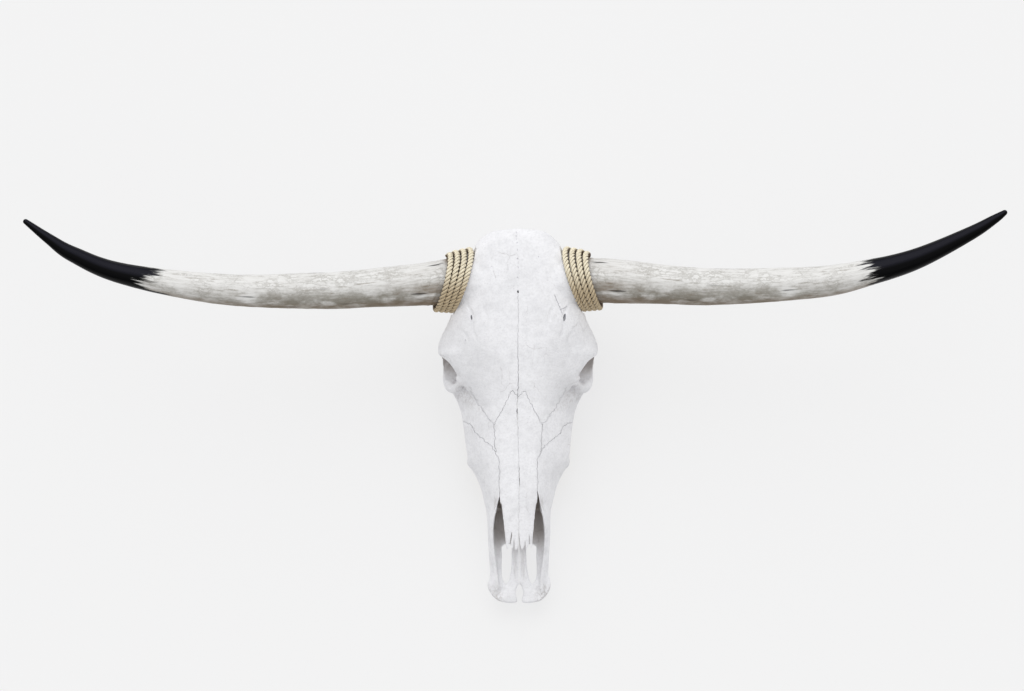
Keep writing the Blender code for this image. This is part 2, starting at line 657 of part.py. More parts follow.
def cheek_parting(group):
    """The stepped cut that frees the upper jaw from the braincase, the sockets and the brow."""
    x, y = CHEEK_SUTURE[0]
    plan = [*CHEEK_SUTURE, (0.115, JAW_BACK)]
    plan = plan + [(-x, y) for x, y in reversed(plan)]
    low = CHEEK_PARTING - SUTURE_OVERRUN
    high = CHEEK_PARTING + SUTURE_OVERRUN
    return [
        mirrored(upright("cheek", CHEEK_SUTURE, low, 0.21, group)),
        upright("under_nasals", [(-x, y), (x, y)], low, nasal_floor(y) + SUTURE_OVERRUN, group),
        sheet("under_socket", [(x, y, CHEEK_PARTING) for x, y in plan], group),
        upright("jaw_back", [(-0.115, JAW_BACK), (0.115, JAW_BACK)], -0.02, high, group),
    ]


def incisive_parting(group):
    """A slanted cut from the top of each nostril down to the palate."""
    upper, lower = INCISIVE_SUTURE
    knee = upper.lerp(lower, 0.5)
    edge = NASAL_OUTLINE[-1][0]

    def slab(name, left, right, start, end):
        corners = [(left, *start.yz), (right, *start.yz), (right, *end.yz), (left, *end.yz)]
        return sheet(name, corners, group)

    return [mirrored(slab("incisive_side", edge, 0.08, upper, lower)),
            slab("incisive_palate", -edge - SUTURE_OVERRUN, edge + SUTURE_OVERRUN, knee, lower)]


# ---- horns and ropes -----------------------------------------------------------------------------

class HornRoot:
    """The straight root of one horn, with rings that lie in the slanted planes of the rope."""

    def __init__(self, line, side):
        path = [Vector(row[:3]) for row in curve_through(line, 8)]
        nearest = min(range(len(path)), key=lambda i: abs(path[i].x - HORN_JOINT))
        self.side = side
        self.centre = path[nearest]
        self.axis = (path[nearest + 1] - path[nearest - 1]).normalized()
        self.plane = ROPE_PLANE.normalized()
        self.up = (Vector((0, 0, 1)) - self.axis * self.axis.z).normalized()
        self.across = self.axis.cross(self.up)

    def point(self, along, angle, radius):
        out = (self.up * math.sin(angle) + self.across * math.cos(angle)) * radius
        slide = along - out.dot(self.plane) / self.axis.dot(self.plane)
        found = self.centre + self.axis * slide + out
        return Vector((found.x * self.side, found.y, found.z))

    def ring(self, along, radius, sides=24):
        return [self.point(along, 2 * math.pi * i / sides, radius) for i in range(sides)]


def root_radius(along):
    """Radius of the horn root and its bone core, by the distance outwards from the joint."""
    return ROOT_RADIUS + ROOT_FLARE * max(0.0, ROPE_TURNS * ROPE_PITCH / 2 - along)


def rope_bed(root, group):
    """The hollow round the bone core that the rope fills, so that the turns stand clear of the skull."""
    inner = -ROPE_PITCH * ROPE_TURNS / 2 - ROPE_RADIUS * 1.1 - ROPE_GAP
    outer = 0.012
    rings = [root.ring(inner, root_radius(inner)), root.ring(outer, root_radius(outer)),
             root.ring(outer, ROPE_BED_RADIUS), root.ring(inner, ROPE_BED_RADIUS)]
    return loft("rope_bed", rings, group, closed=True)


def joint_block(root, start, end, group):
    return loft("joint_block", [root.ring(start, 0.07), root.ring(end, 0.07)], group)


def horn(name, line, root, bones, cutters):
    points = [(x * root.side, y, z, radius) for x, y, z, radius in line]
    made = rod(name + "_bar", points, cutters, steps=HORN_STEPS, resolution=HORN_ROUNDNESS)
    cut(made, joint_block(root, -0.09, HORN_GAP, cutters))
    return as_mesh(made, name, bones)


def rope(name, root, group):
    """The turns of rope, a helix whose corners are pushed out so that its chords clear the horn."""
    chord = math.cos(math.pi / ROPE_POINTS_PER_TURN)
    points = []
    for i in range(ROPE_TURNS * ROPE_POINTS_PER_TURN + 1):
        turn = i / ROPE_POINTS_PER_TURN
        along = (turn - ROPE_TURNS / 2) * ROPE_PITCH
        radius = (root_radius(along) + ROPE_GAP + ROPE_RADIUS) / chord
        point = root.point(along, ROPE_START_ANGLE + 2 * math.pi * turn, radius)
        points.append((*point, ROPE_RADIUS))
    return rod(name, points, group, steps=1, resolution=2)


# ---- main ----------------------------------------------------------------------------------------

def skull_forms(group):
    right = [
        orbit_rim(group), cheekbone(group), horn_pedicle(group), pterygoid(group), palate_shelf(group),
        incisive_wall(group), incisive_plate(group), facial_tuber(group), *back_of_skull(group),
        *cheek_teeth(group),
    ]
    middle = [vault(group), face(group), nasal_roof(group), skull_base(group), nape_bump(group)]
    return [mirrored(form) for form in right] + middle


def carved_skull(roots, bones, cutters):
    """All the skull bones as one solid, with its hollows, its flat feet and the seats of the horns."""
    skull = joined("skull", skull_forms(cutters), bones)
    remesh(skull, VOXEL, 3)
    for cutter in (nose_cavity(cutters), inner_nostril(cutters), foramen_magnum(cutters)):
        cut(skull, cutter)
    for maker in (orbit_cavity, brow_foramen):
        cut(skull, mirrored(maker(cutters)))
    remesh(skull, VOXEL, 2)
    skull = as_mesh(skull, "skull", bones)
    fewer = skull.modifiers.new("fewer faces", "DECIMATE")
    fewer.ratio = BONE_FACES / sum(len(face.vertices) - 2 for face in skull.data.polygons)
    for cutter in (floor_block(cutters), *nasal_notches(cutters)):
        cut(skull, cutter)
    for root in roots:
        cut(skull, rope_bed(root, cutters))
        cut(skull, joint_block(root, 0, 0.08, cutters))
    return skull


def bone_name(corners):
    """The name of a bone from the extent of its corners."""
    low, high = [Vector((pick(c.x for c in corners), pick(c.y for c in corners), pick(c.z for c in corners)))
                 for pick in (min, max)]
    side = "right" if low.x + high.x > 0 else "left"
    if high.y > 0.2:
        return "cranium"
    if low.z > 0.085:
        return "nasal_bone_" + side
    if high.y < -0.14:
        return "incisive_bone_" + side
    return "maxilla_" + side


def parted(skull, group):
    """Each bone of the cut skull as an object of its own."""
    whole = as_mesh(skull, "cut_skull", group)
    bm = bmesh.new()
    bm.from_mesh(whole.data)
    bpy.data.objects.remove(whole, do_unlink=True)
    bm.verts.ensure_lookup_table()
    unseen = set(bm.verts)
    made = []
    while unseen:
        corners = {unseen.pop()}
        front = list(corners)
        while front:
            linked = [edge.other_vert(corner) for corner in front for edge in corner.link_edges]
            front = [corner for corner in set(linked) if corner in unseen]
            unseen.difference_update(front)
            corners.update(front)
        made.append(corners)
    bones = []
    for corners in made:
        piece = bmesh.new()
        copies = {corner: piece.verts.new(corner.co) for corner in sorted(corners, key=lambda c: c.index)}
        faces = {face for corner in corners for face in corner.link_faces}
        for face in sorted(faces, key=lambda f: f.index):
            piece.faces.new([copies[corner] for corner in face.verts])
        name = bone_name([corner.co for corner in corners])
        mesh = bpy.data.meshes.new(name)
        volume = piece.calc_volume()
        piece.to_mesh(mesh)
        piece.free()
        if volume > CRUMB_VOLUME:
            bones.append(mesh_object(name, mesh, group))
    bm.free()
    return bones


def look_of(name):
    if name.startswith("horn"):
        return HORN_LOOK
    if name.startswith("rope"):
        return ROPE_LOOK
    return BONE_LOOK


def finish(group):
    """Colours, smooth shading, and the origin moved to the middle of the footprint on the floor."""
    for made in group.objects:
        made.data.materials.clear()
        made.data.materials.append(material(made.name + "_look", *look_of(made.name)))
        made.data.shade_smooth()
        made.data.set_sharp_from_angle(angle=SHARP_ANGLE)
    bpy.context.view_layer.update()
    corners = [made.matrix_world @ Vector(corner) for made in group.objects for corner in made.bound_box]
    middle = Vector([(min(c[i] for c in corners) + max(c[i] for c in corners)) / 2 for i in range(2)] + [0])
    for made in group.objects:
        made.location -= middle


def main():
    clear_scene()
    bones = collection("longhorn_skull")
    cutters = collection("cutters")
    roots = {"right": HornRoot(HORN_RIGHT, 1), "left": HornRoot(HORN_LEFT, -1)}
    skull = carved_skull(roots.values(), bones, cutters)
    for parting in (nasal_parting, middle_parting, cheek_parting, incisive_parting):
        for blade in parting(cutters):
            cut(skull, blade)
    parted(skull, bones)
    for side, line in (("right", HORN_RIGHT), ("left", HORN_LEFT)):
        horn("horn_" + side, line, roots[side], bones, cutters)
        rope("rope_wrap_" + side, roots[side], bones)
    finish(bones)


if __name__ == "__main__":
    main()
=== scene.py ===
"""Longhorn steer skull with rope bound round its horn roots: its finished surfaces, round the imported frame.

The bones are fused from simple forms by voxel remeshes, carved, roughened and parted along jagged sutures.
The horns are lofts along their curved lines, and each rope wrap is three strands laid together. Metres,
+Z up, nose towards -Y, poll towards +Y. Sizes run from the midline and from the root of the nose (station 0),
and each finished piece is moved to where the frame has them.
"""
import math
import random

import bmesh
import bpy
import numpy as np
from bpy.props import FloatProperty, FloatVectorProperty, IntProperty, PointerProperty
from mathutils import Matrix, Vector, noise
from mathutils.bvhtree import BVHTree


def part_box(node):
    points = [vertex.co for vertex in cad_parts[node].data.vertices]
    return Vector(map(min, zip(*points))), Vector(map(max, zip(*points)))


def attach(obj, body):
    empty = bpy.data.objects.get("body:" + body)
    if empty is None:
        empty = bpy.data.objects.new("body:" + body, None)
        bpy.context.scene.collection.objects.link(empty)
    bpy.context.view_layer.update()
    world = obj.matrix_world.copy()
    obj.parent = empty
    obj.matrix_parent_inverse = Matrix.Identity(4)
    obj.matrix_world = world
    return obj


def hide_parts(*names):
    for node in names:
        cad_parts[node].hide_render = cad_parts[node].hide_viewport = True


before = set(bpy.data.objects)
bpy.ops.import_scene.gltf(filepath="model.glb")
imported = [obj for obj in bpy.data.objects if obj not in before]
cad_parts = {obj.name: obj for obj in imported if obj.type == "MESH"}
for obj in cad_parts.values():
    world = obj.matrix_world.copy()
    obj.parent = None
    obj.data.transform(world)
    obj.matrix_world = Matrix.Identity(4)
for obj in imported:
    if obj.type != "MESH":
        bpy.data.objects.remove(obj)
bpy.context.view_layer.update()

bl_info = {
    "name": "Longhorn skull with rope wraps",
    "version": (1, 0, 0),
    "blender": (4, 5, 0),
    "location": "View3D > Sidebar > Skull",
    "description": "Builds the bones, teeth, horns, rope wraps and stage of a longhorn skull",
    "category": "Object",
}

# Sutures that the frame's solids are parted along. The frame says where station 0 and the midline are.
PARTING = 0.0004            # width of the solids' cuts
UNDER_ALL, OVER_ALL = -0.02, 0.21   # heights below and above the whole skull
OVERLAP = 0.0002            # by which cuts that meet run into each other
JAW_BACK = 0.016            # station behind the last molar
CHEEK_PARTING = 0.088       # height at which the cheek suture turns back under the eye socket
MIDLINE = (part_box("nasal_bone_left")[1].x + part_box("nasal_bone_right")[0].x) / 2
STATION_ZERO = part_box("maxilla_right")[1].y + PARTING / 2 - JAW_BACK
PLACE = Vector((MIDLINE, STATION_ZERO, 0))

# Rim of the eye socket: distance from the midline, station, height, thickness (as a radius).
ORBIT_RIM = (
    (0.1130, 0.0760, 0.1510, 0.0055), (0.1010, 0.0630, 0.1510, 0.0050), (0.0900, 0.0475, 0.1460, 0.0052),
    (0.0868, 0.0350, 0.1370, 0.0060), (0.0885, 0.0275, 0.1230, 0.0070), (0.0945, 0.0225, 0.1090, 0.0082),
    (0.1030, 0.0260, 0.1000, 0.0082), (0.1080, 0.0375, 0.0970, 0.0075), (0.1085, 0.0540, 0.0990, 0.0065),
    (0.1105, 0.0670, 0.1090, 0.0060), (0.1120, 0.0735, 0.1240, 0.0060), (0.1130, 0.0755, 0.1380, 0.0060),
)
ORBIT_CAVITY = (0.0865, 0.0605, 0.1240)
ORBIT_CAVITY_RADII = (0.052, 0.0268, 0.0255)
ORBIT_FACING = -0.505       # turn of the socket towards the nose
ORBIT_TILT = 0.08
ORBIT_ROUGHNESS = 0.0011

# Forehead and braincase: station, crown height, brow half width and height, waist half width and height
# (the wall of the temporal fossa), base half width and height.
VAULT = (
    (0.2500, 0.2030, 0.010, 0.200, 0.006, 0.190, 0.004, 0.180),
    (0.2465, 0.2080, 0.040, 0.196, 0.040, 0.165, 0.020, 0.120),
    (0.2360, 0.2105, 0.056, 0.193, 0.053, 0.145, 0.040, 0.075),
    (0.2200, 0.2110, 0.069, 0.192, 0.058, 0.140, 0.048, 0.060),
    (0.2000, 0.2090, 0.074, 0.196, 0.057, 0.140, 0.048, 0.054),
    (0.1750, 0.2060, 0.080, 0.194, 0.055, 0.138, 0.045, 0.052),
    (0.1450, 0.2010, 0.095, 0.180, 0.054, 0.138, 0.041, 0.052),
    (0.1180, 0.1950, 0.103, 0.168, 0.052, 0.138, 0.037, 0.056),
    (0.0950, 0.1895, 0.114, 0.160, 0.050, 0.134, 0.034, 0.060),
    (0.0780, 0.1850, 0.120, 0.157, 0.049, 0.130, 0.032, 0.063),
    (0.0660, 0.1815, 0.119, 0.156, 0.048, 0.128, 0.031, 0.066),
    (0.0600, 0.1798, 0.111, 0.1555, 0.0475, 0.1265, 0.0305, 0.0675),
    (0.0530, 0.1777, 0.1035, 0.1545, 0.047, 0.125, 0.030, 0.069),
    (0.0400, 0.1740, 0.094, 0.149, 0.046, 0.120, 0.030, 0.073),
    (0.0200, 0.1680, 0.081, 0.140, 0.046, 0.114, 0.030, 0.077),
    (0.0000, 0.1605, 0.064, 0.134, 0.044, 0.110, 0.030, 0.080),
    (-0.0250, 0.1500, 0.048, 0.128, 0.036, 0.100, 0.026, 0.080),
)
# Face: station, roof height, nasal half width, cheek half width and height, alveolar half width and height,
# palate height.
FACE = (
    (0.0300, 0.1665, 0.038, 0.084, 0.106, 0.062, 0.055, 0.060),
    (0.0140, 0.1650, 0.036, 0.089, 0.101, 0.067, 0.030, 0.049),
    (0.0000, 0.1610, 0.035, 0.0895, 0.095, 0.070, 0.022, 0.044),
    (-0.0160, 0.1565, 0.035, 0.0865, 0.090, 0.071, 0.018, 0.043),
    (-0.0380, 0.1510, 0.035, 0.0828, 0.085, 0.071, 0.018, 0.043),
    (-0.0600, 0.1465, 0.033, 0.0805, 0.080, 0.070, 0.019, 0.044),
    (-0.0840, 0.1420, 0.031, 0.0770, 0.076, 0.068, 0.021, 0.045),
    (-0.0980, 0.1390, 0.030, 0.0713, 0.073, 0.063, 0.023, 0.045),
    (-0.1130, 0.1360, 0.0295, 0.0630, 0.071, 0.056, 0.026, 0.046),
    (-0.1290, 0.1325, 0.029, 0.0570, 0.069, 0.049, 0.031, 0.046),
    (-0.1440, 0.1280, 0.0285, 0.0533, 0.066, 0.0445, 0.037, 0.047),
    (-0.1560, 0.1180, 0.027, 0.0508, 0.062, 0.0425, 0.040, 0.047),
)
# Free end of the nasal bones: station, top height, half width, thickness.
NASAL_TIP = (
    (-0.130, 0.1325, 0.0285, 0.010), (-0.150, 0.1280, 0.0275, 0.008), (-0.177, 0.1210, 0.0245, 0.0065),
    (-0.203, 0.1130, 0.0217, 0.0055), (-0.2255, 0.1042, 0.0201, 0.0050),
)
# Side wall of the incisive bone: station, then the middle of its upper edge (distance from the midline,
# height), the middle of its lower edge, and half its thickness.
INCISIVE_WALL = (
    (-0.132, 0.0290, 0.1225, 0.0490, 0.055, 0.0050),
    (-0.150, 0.0295, 0.1160, 0.0488, 0.052, 0.0048),
    (-0.160, 0.0325, 0.1090, 0.0480, 0.050, 0.0042),
    (-0.172, 0.0370, 0.0995, 0.0470, 0.048, 0.0036),
    (-0.185, 0.0395, 0.0900, 0.0464, 0.046, 0.0035),
    (-0.200, 0.0403, 0.0800, 0.0458, 0.043, 0.0035),
    (-0.233, 0.0376, 0.0610, 0.0438, 0.036, 0.0037),
    (-0.254, 0.0350, 0.0500, 0.0422, 0.031, 0.0042),
    (-0.272, 0.0342, 0.0420, 0.0415, 0.031, 0.0046),
    (-0.283, 0.0335, 0.0370, 0.0390, 0.031, 0.0046),
)
# Outline of the incisive body and its palatine process, seen from above (distance from midline, station).
INCISIVE_PLATE = (
    (-0.001, -0.266), (0.0048, -0.277), (0.0058, -0.285), (0.0036, -0.2965), (0.0130, -0.2985),
    (0.026, -0.2970), (0.0345, -0.2935), (0.0420, -0.2860), (0.0470, -0.2775), (0.0485, -0.2700),
    (0.046, -0.2600), (0.0440, -0.2480), (0.0450, -0.2100), (0.0300, -0.2060), (0.0265, -0.2200),
    (0.0268, -0.2440), (0.0262, -0.2590), (0.0235, -0.2670), (0.0190, -0.2700), (0.0155, -0.2620),
    (0.0120, -0.2440), (0.0110, -0.2200), (0.0095, -0.2040), (-0.001, -0.2020),
)
INCISIVE_PLATE_HEIGHT = 0.033
INCISIVE_PLATE_THICKNESS = 0.011
INCISIVE_PLATE_RISE = 0.12      # slope of the plate, up towards the back
INCISIVE_PLATE_LEVEL = 0.275    # distance before station 0 at which it has the height given

# Notches in the free tips of the nasal bones, seen from above (distance to the right of the midline, station).
TIP_NOTCHES = (
    ((0.0001, -0.2020), (0.0012, -0.2120), (0.0020, -0.2320), (-0.0016, -0.2320), (-0.0007, -0.2130)),
    ((-0.0112, -0.1990), (-0.0106, -0.2040), (-0.0113, -0.2100), (-0.0122, -0.2170), (-0.0122, -0.2320),
     (-0.0162, -0.2320), (-0.0146, -0.2190), (-0.0134, -0.2110), (-0.0122, -0.2040)),
    ((-0.0076, -0.2085), (-0.0070, -0.2150), (-0.0064, -0.2320), (-0.0094, -0.2320), (-0.0084, -0.2160)),
    ((0.0153, -0.2015), (0.0160, -0.2070), (0.0162, -0.2130), (0.0176, -0.2190), (0.0184, -0.2320),
     (0.0146, -0.2320), (0.0154, -0.2180), (0.0150, -0.2100)),
    ((0.0090, -0.2105), (0.0098, -0.2170), (0.0108, -0.2320), (0.0078, -0.2320), (0.0084, -0.2180)),
)
# Ragged front edge of the nasal bones, and the narrow tops of the nose's two openings (right, left), in the
# same way.
TIP_EDGE = (
    (-0.0300, -0.2160), (-0.0222, -0.2150), (-0.0200, -0.2225), (-0.0172, -0.2235), (-0.0150, -0.2150),
    (-0.0128, -0.2200), (-0.0110, -0.2245), (-0.0082, -0.2205), (-0.0064, -0.2255), (-0.0030, -0.2240),
    (0.0004, -0.2150), (0.0030, -0.2225), (0.0052, -0.2250), (0.0080, -0.2190), (0.0104, -0.2245),
    (0.0135, -0.2200), (0.0160, -0.2150), (0.0182, -0.2215), (0.0208, -0.2205), (0.0228, -0.2140),
    (0.0300, -0.2150), (0.0300, -0.2400), (-0.0300, -0.2400),
)
OPENING_TOPS = (
    ((0.0286, -0.1400), (0.0291, -0.1402), (0.0312, -0.1500), (0.0334, -0.1600), (0.0351, -0.1680),
     (0.0310, -0.1730), (0.0266, -0.1660), (0.0276, -0.1570), (0.0283, -0.1480)),
    ((-0.0283, -0.1520), (-0.0276, -0.1590), (-0.0266, -0.1670), (-0.0310, -0.1730), (-0.0351, -0.1680),
     (-0.0334, -0.1610), (-0.0312, -0.1530), (-0.0291, -0.1462), (-0.0286, -0.1460)),
)
TIP_CUT, OPENING_CUT = (0.088, 0.130), (0.096, 0.140)     # heights from which and to which they are cut

# The tunnel of the nose: station, half width, floor and roof.
NOSE = (
    (-0.240, 0.034, 0.052, 0.098), (-0.205, 0.0365, 0.0525, 0.104), (-0.170, 0.0370, 0.0525, 0.1145),
    (-0.145, 0.0345, 0.053, 0.1195), (-0.100, 0.0345, 0.054, 0.1275), (-0.050, 0.036, 0.055, 0.1385),
    (-0.010, 0.034, 0.056, 0.147), (0.014, 0.026, 0.060, 0.138), (0.036, 0.018, 0.066, 0.100),
)

# Sutures seen from above, from the midline or the nose outwards (distance from the midline, station).
NASAL_OUTLINE = (
    (0.0000, 0.0000), (0.0040, 0.0030), (0.0098, 0.0080), (0.0150, -0.0020), (0.0225, -0.0160),
    (0.0302, -0.0293), (0.0362, -0.0401), (0.0355, -0.0560), (0.0342, -0.0799), (0.0290, -0.0930),
    (0.0288, -0.1200), (0.0288, -0.1440), (0.0288, -0.1630),
)
NASAL_FLOOR = (0.1465, 0.235)       # underside of the nasal bones: height at the root of the nose, and slope
CHEEK_SUTURE = (
    (0.0342, -0.0799), (0.0450, -0.0666), (0.0554, -0.0573), (0.0639, -0.0481), (0.0754, -0.0311),
    (0.1150, -0.0150),
)
INCISIVE_SUTURE = (Vector((0, -0.150, 0.124)), Vector((0, -0.206, 0.020)))    # its upper and lower ends
TEAR_SUTURE = ((0.0362, -0.0401), (0.0440, -0.0310), (0.0514, -0.0200), (0.0640, 0.0000), (0.0740, 0.0170))
BROW_SUTURE = ((0.0000, 0.1529), (0.0006, 0.1200), (-0.0004, 0.0800), (0.0005, 0.0400), (0.0000, 0.0010))
MIDDLE_SUTURE = (
    (0, -0.320), (0, -0.180), (0.0010, -0.120), (-0.0002, -0.060), (-0.0012, -0.020), (0, 0.0010),
)
# Where the seam between the nasal bones stands open: middle and reach along the nose, extra width.
SEAM_OPENINGS = (
    (-0.022, 0.026, 0.0016), (-0.125, 0.028, 0.0008), (-0.215, 0.020, 0.0012), (-0.252, 0.026, 0.0011),
)
CLOSED_SEAM = 0.0003

# Painted shade in the hollow before each eye socket, on both sides: place seen from above, reach, strength.
SHADE_PATCHES = (
    ((0.0870, 0.0150), 0.016, 0.45), ((0.0780, 0.0060), 0.014, 0.45), ((0.0700, -0.0040), 0.012, 0.35),
    ((0.0960, 0.0340), 0.012, 0.40), ((0.0560, -0.0140), 0.010, 0.25),
)

# Grooves of the brow and channels of the palate, on both sides: path seen from above, radius, depth.
BROW_GROOVES = (
    (((0.0800, 0.1370), (0.0735, 0.1270), (0.0700, 0.1180), (0.0695, 0.1120)), 0.0050, 0.0013),
    (((0.0695, 0.1130), (0.0705, 0.1010), (0.0670, 0.0890), (0.0620, 0.0790)), 0.0070, 0.0010),
    (((0.0560, 0.1330), (0.0500, 0.1180), (0.0470, 0.1000)), 0.0080, 0.0008),
    (((0.0880, 0.0980), (0.0800, 0.0900), (0.0760, 0.0780)), 0.0060, 0.0007),
)
PALATE_CHANNELS = (
    (((0.0066, -0.2270), (0.0060, -0.2400), (0.0048, -0.2560), (0.0042, -0.2640)), 0.0036, 0.0016),
    (((0.0200, -0.2760), (0.0260, -0.2820), (0.0330, -0.2840)), 0.0060, 0.0012),
)
# Hairline cracks on the right side alone, pits, and the holes of vessels in the brow (place of the right one,
# half width of the right and of the left one) and in the middle of the forehead.
BROW_CRACKS = (
    ((0.0545, 0.1490), (0.0600, 0.1370), (0.0640, 0.1280), (0.0670, 0.1210)),
    ((0.0645, 0.1275), (0.0700, 0.1300), (0.0735, 0.1330)),
)
FOREHEAD_PITS = (
    (-0.0022, 0.2420), (-0.0020, 0.2320), (-0.0026, 0.2365), (-0.0012, 0.2260), (-0.0006, 0.2150),
    (-0.0008, 0.2020), (0.0004, 0.1890), (-0.0004, 0.1740), (-0.0790, 0.0830), (0.0310, 0.2050),
    (-0.0400, 0.1900),
)
FORAMEN = (0.0695, 0.1165, 0.184)
FORAMEN_HALF_WIDTHS = (0.0021, 0.0014)
FOREHEAD_PORE = (0, 0.1529, 0.199)

# Cheek teeth, back to front: length, distance from the midline, half width.
TEETH = (
    (0.030, 0.0600, 0.0115), (0.026, 0.0615, 0.0118), (0.023, 0.0600, 0.0115), (0.018, 0.0540, 0.0100),
    (0.018, 0.0470, 0.0092), (0.015, 0.0410, 0.0080),
)
TEETH_BACK = -0.004
TOOTH_TOP = 0.041
TOOTH_RINGS = 15
SOCKET_TOP = 0.036
SOCKET_GROWTH = 1.03
# Fluted outline of a tooth's socket, in units of its half width and half length.
SOCKET_OUTLINE = (
    (-1, -0.8), (-0.8, -1), (0.8, -1), (1, -0.75), (0.86, 0), (1, 0.75), (0.8, 1), (-0.8, 1), (-1, 0.8),
)
PREMOLAR_START = -0.055     # station from which the teeth rise off the floor, and the slope they rise by
PREMOLAR_RISE = 0.11

# Horn lines: distance from the midline, station, height, radius.
HORN_RIGHT = (
    (0.0400, 0.1850, 0.1600, 0.0365), (0.0990, 0.1785, 0.1720, 0.0361), (0.1220, 0.1755, 0.1780, 0.0335),
    (0.1530, 0.1720, 0.1870, 0.0331), (0.2277, 0.1638, 0.2010, 0.0291), (0.3021, 0.1577, 0.2130, 0.0271),
    (0.4499, 0.1604, 0.2345, 0.0232), (0.5279, 0.1731, 0.2470, 0.0193), (0.5965, 0.1918, 0.2590, 0.0153),
    (0.6692, 0.2240, 0.2760, 0.0104), (0.7053, 0.2439, 0.2850, 0.0068), (0.7231, 0.2550, 0.2910, 0.0034),
)
HORN_LEFT = (
    (0.0400, 0.1850, 0.1600, 0.0365), (0.0990, 0.1765, 0.1720, 0.0361), (0.1220, 0.1725, 0.1780, 0.0333),
    (0.1424, 0.1687, 0.1840, 0.0322), (0.2172, 0.1590, 0.2010, 0.0293), (0.2915, 0.1519, 0.2130, 0.0272),
    (0.4392, 0.1487, 0.2345, 0.0230), (0.5855, 0.1669, 0.2590, 0.0157), (0.6579, 0.1925, 0.2760, 0.0118),
    (0.6940, 0.2146, 0.2850, 0.0079), (0.7308, 0.2413, 0.2910, 0.0036),
)
# Black tips: distance of their edge from the joint, its lean towards the nose side, and how far a thin line
# runs on along the poll side and along the nose side.
TIP_RIGHT = (0.432, 0.0, 0.030, 0.0)
TIP_LEFT = (0.453, 0.008, 0.0, 0.034)
HORN_JOINT = 0.0990         # distance of the joint between horn and bone core from the midline
HORN_GAP = 0.0004
STRAIGHT_RADIUS = 0.03      # of the straight horn that the keratin's pattern is read from
SLANT_KEPT = 0.024          # distance from the joint to which rings lie in its plane, and then straighten out
SLANT_LOST = 0.060
RIDGED_RADIUS = 0.004       # the thinnest tip is smooth
CAP_RINGS = 10

# Rope round each horn root. Its turns lie in slanted planes, and widen towards the skull.
ROPE_PLANE = Vector((0.945, 0.232, 0.230))          # plane of the joint, and of the solids' turns
ROPE_TURNS = 4
ROPE_PITCH = 0.0099         # of the solids' turns
ROPE_GAP = 0.0006           # between the rope and the horn root
ROPE_START_ANGLE = 3.0      # the outer end lies on the side of the poll
ROOT_RADIUS = 0.0350        # of the horn at the outermost turn, and how fast it widens towards the skull
ROOT_FLARE = 0.13
ROPE_BED_RADIUS = 0.0520
ROPE_LEAN_INNER = Vector((0.945, 0.305, 0.280))     # planes of the innermost and the outermost turn
ROPE_LEAN_OUTER = Vector((0.945, 0.220, 0.225))
ROPE_LAID_PITCH = 0.0091    # how far the laid rope moves on in a turn
ROPE_HIDDEN_ANGLE = 1.5 * math.pi                   # the inner end lies on the underside
ROPE_SHIFT = 0.0004         # of the laid rope towards the skull
STRAND_OFFSET = 0.52        # of a strand from the middle of the rope, and its radius, in rope radii
STRAND_RADIUS = 0.50
STRAND_SIDES = 18
FIBRE_RADIUS = 0.01         # of the straight strand that the fibre's pattern is read from

CRUMB = 400                 # faces below which a loose piece of the cut skull is thrown away
TRIANGLE_LIMIT = 190000     # above which a piece is thinned
SHARP_ANGLE = math.radians(35)
MUZZLE_LEAN = (0.0085, -0.030)      # sideways slope of the muzzle, and the station where it begins

LIGHT_SIDE = Vector((-0.10, 1.05, 1.0))     # the way to the key light
KEY_SPREAD = math.radians(60)
FLOOR_SIZE = 14
BROW_HEIGHT = 0.18          # of the aim point
PICTURE = (1024, 691)       # width and height of the picture
BROW_PIXEL = (518, 415)     # where the aim point lies in the picture


# ---- settings ---------------------------------------------------------------------------------------

def length(name, default, description):
    return FloatProperty(name=name, description=description, default=default, unit="LENGTH", precision=5)


def colour(name, default, description):
    return FloatVectorProperty(name=name, description=description, default=default, subtype="COLOR",
                               size=3, min=0, max=1)


class SkullBoneSettings(bpy.types.PropertyGroup):
    fusing: length("Fusing grid", 0.0020, "Voxel of the remesh that fuses the forms of the bones")
    surface: length("Surface grid", 0.00125, "Voxel of the remesh that gives the carved skull its surface")
    seam: length("Seam width", 0.0005, "Width of a closed suture")
    broad_relief: length("Broad relief", 0.0016, "Height of the broad swellings of the bone")
    fine_relief: length("Fine relief", 0.0005, "Height of the fine roughness of the bone")
    bone: colour("Bone", (0.945, 0.945, 0.97), "Bleached bone")
    shade: colour("Mottling", (0.70, 0.70, 0.72), "Greyer patches of the bone")
    # Also the colour of the painted shade in the sheltered hollows and under the ropes.
    stain_and_shade: colour("Stain", (0.22, 0.175, 0.14), "Brown stain in the sheltered hollows")
    enamel: colour("Enamel", (0.86, 0.82, 0.70), "Tooth enamel")
    dentine: colour("Dentine", (0.46, 0.34, 0.20), "Worn dentine and tartar")


class SkullHornSettings(bpy.types.PropertyGroup):
    sides: IntProperty(name="Sides", description="Corners round a horn", default=96, min=24)
    step: length("Step", 0.0017, "Distance between two rings of a horn")
    ridge: length("Ridge height", 0.00035, "Height of the lengthwise ridges")
    cream: colour("Cream", (0.83, 0.825, 0.81), "Pale keratin")
    # Also laid on as painted shade: along the flank that faces the nose, and close to the rope.
    brown: colour("Streaks", (0.17, 0.115, 0.065), "Brown spots and streaks")
    slate: colour("Dashes", (0.045, 0.045, 0.045), "Short dark dashes along the horn")
    # Partly painted shade: it darkens the nose side of the horn, away from the key light.
    grey: colour("Underside", (0.215, 0.195, 0.155), "Weathered keratin low on the horn")
    tip: colour("Tip", (0.0006, 0.0006, 0.0010), "Polished black tip")
    gleam: colour("Gleam", (0.011, 0.011, 0.017), "Sheen along the poll side of the black tip")


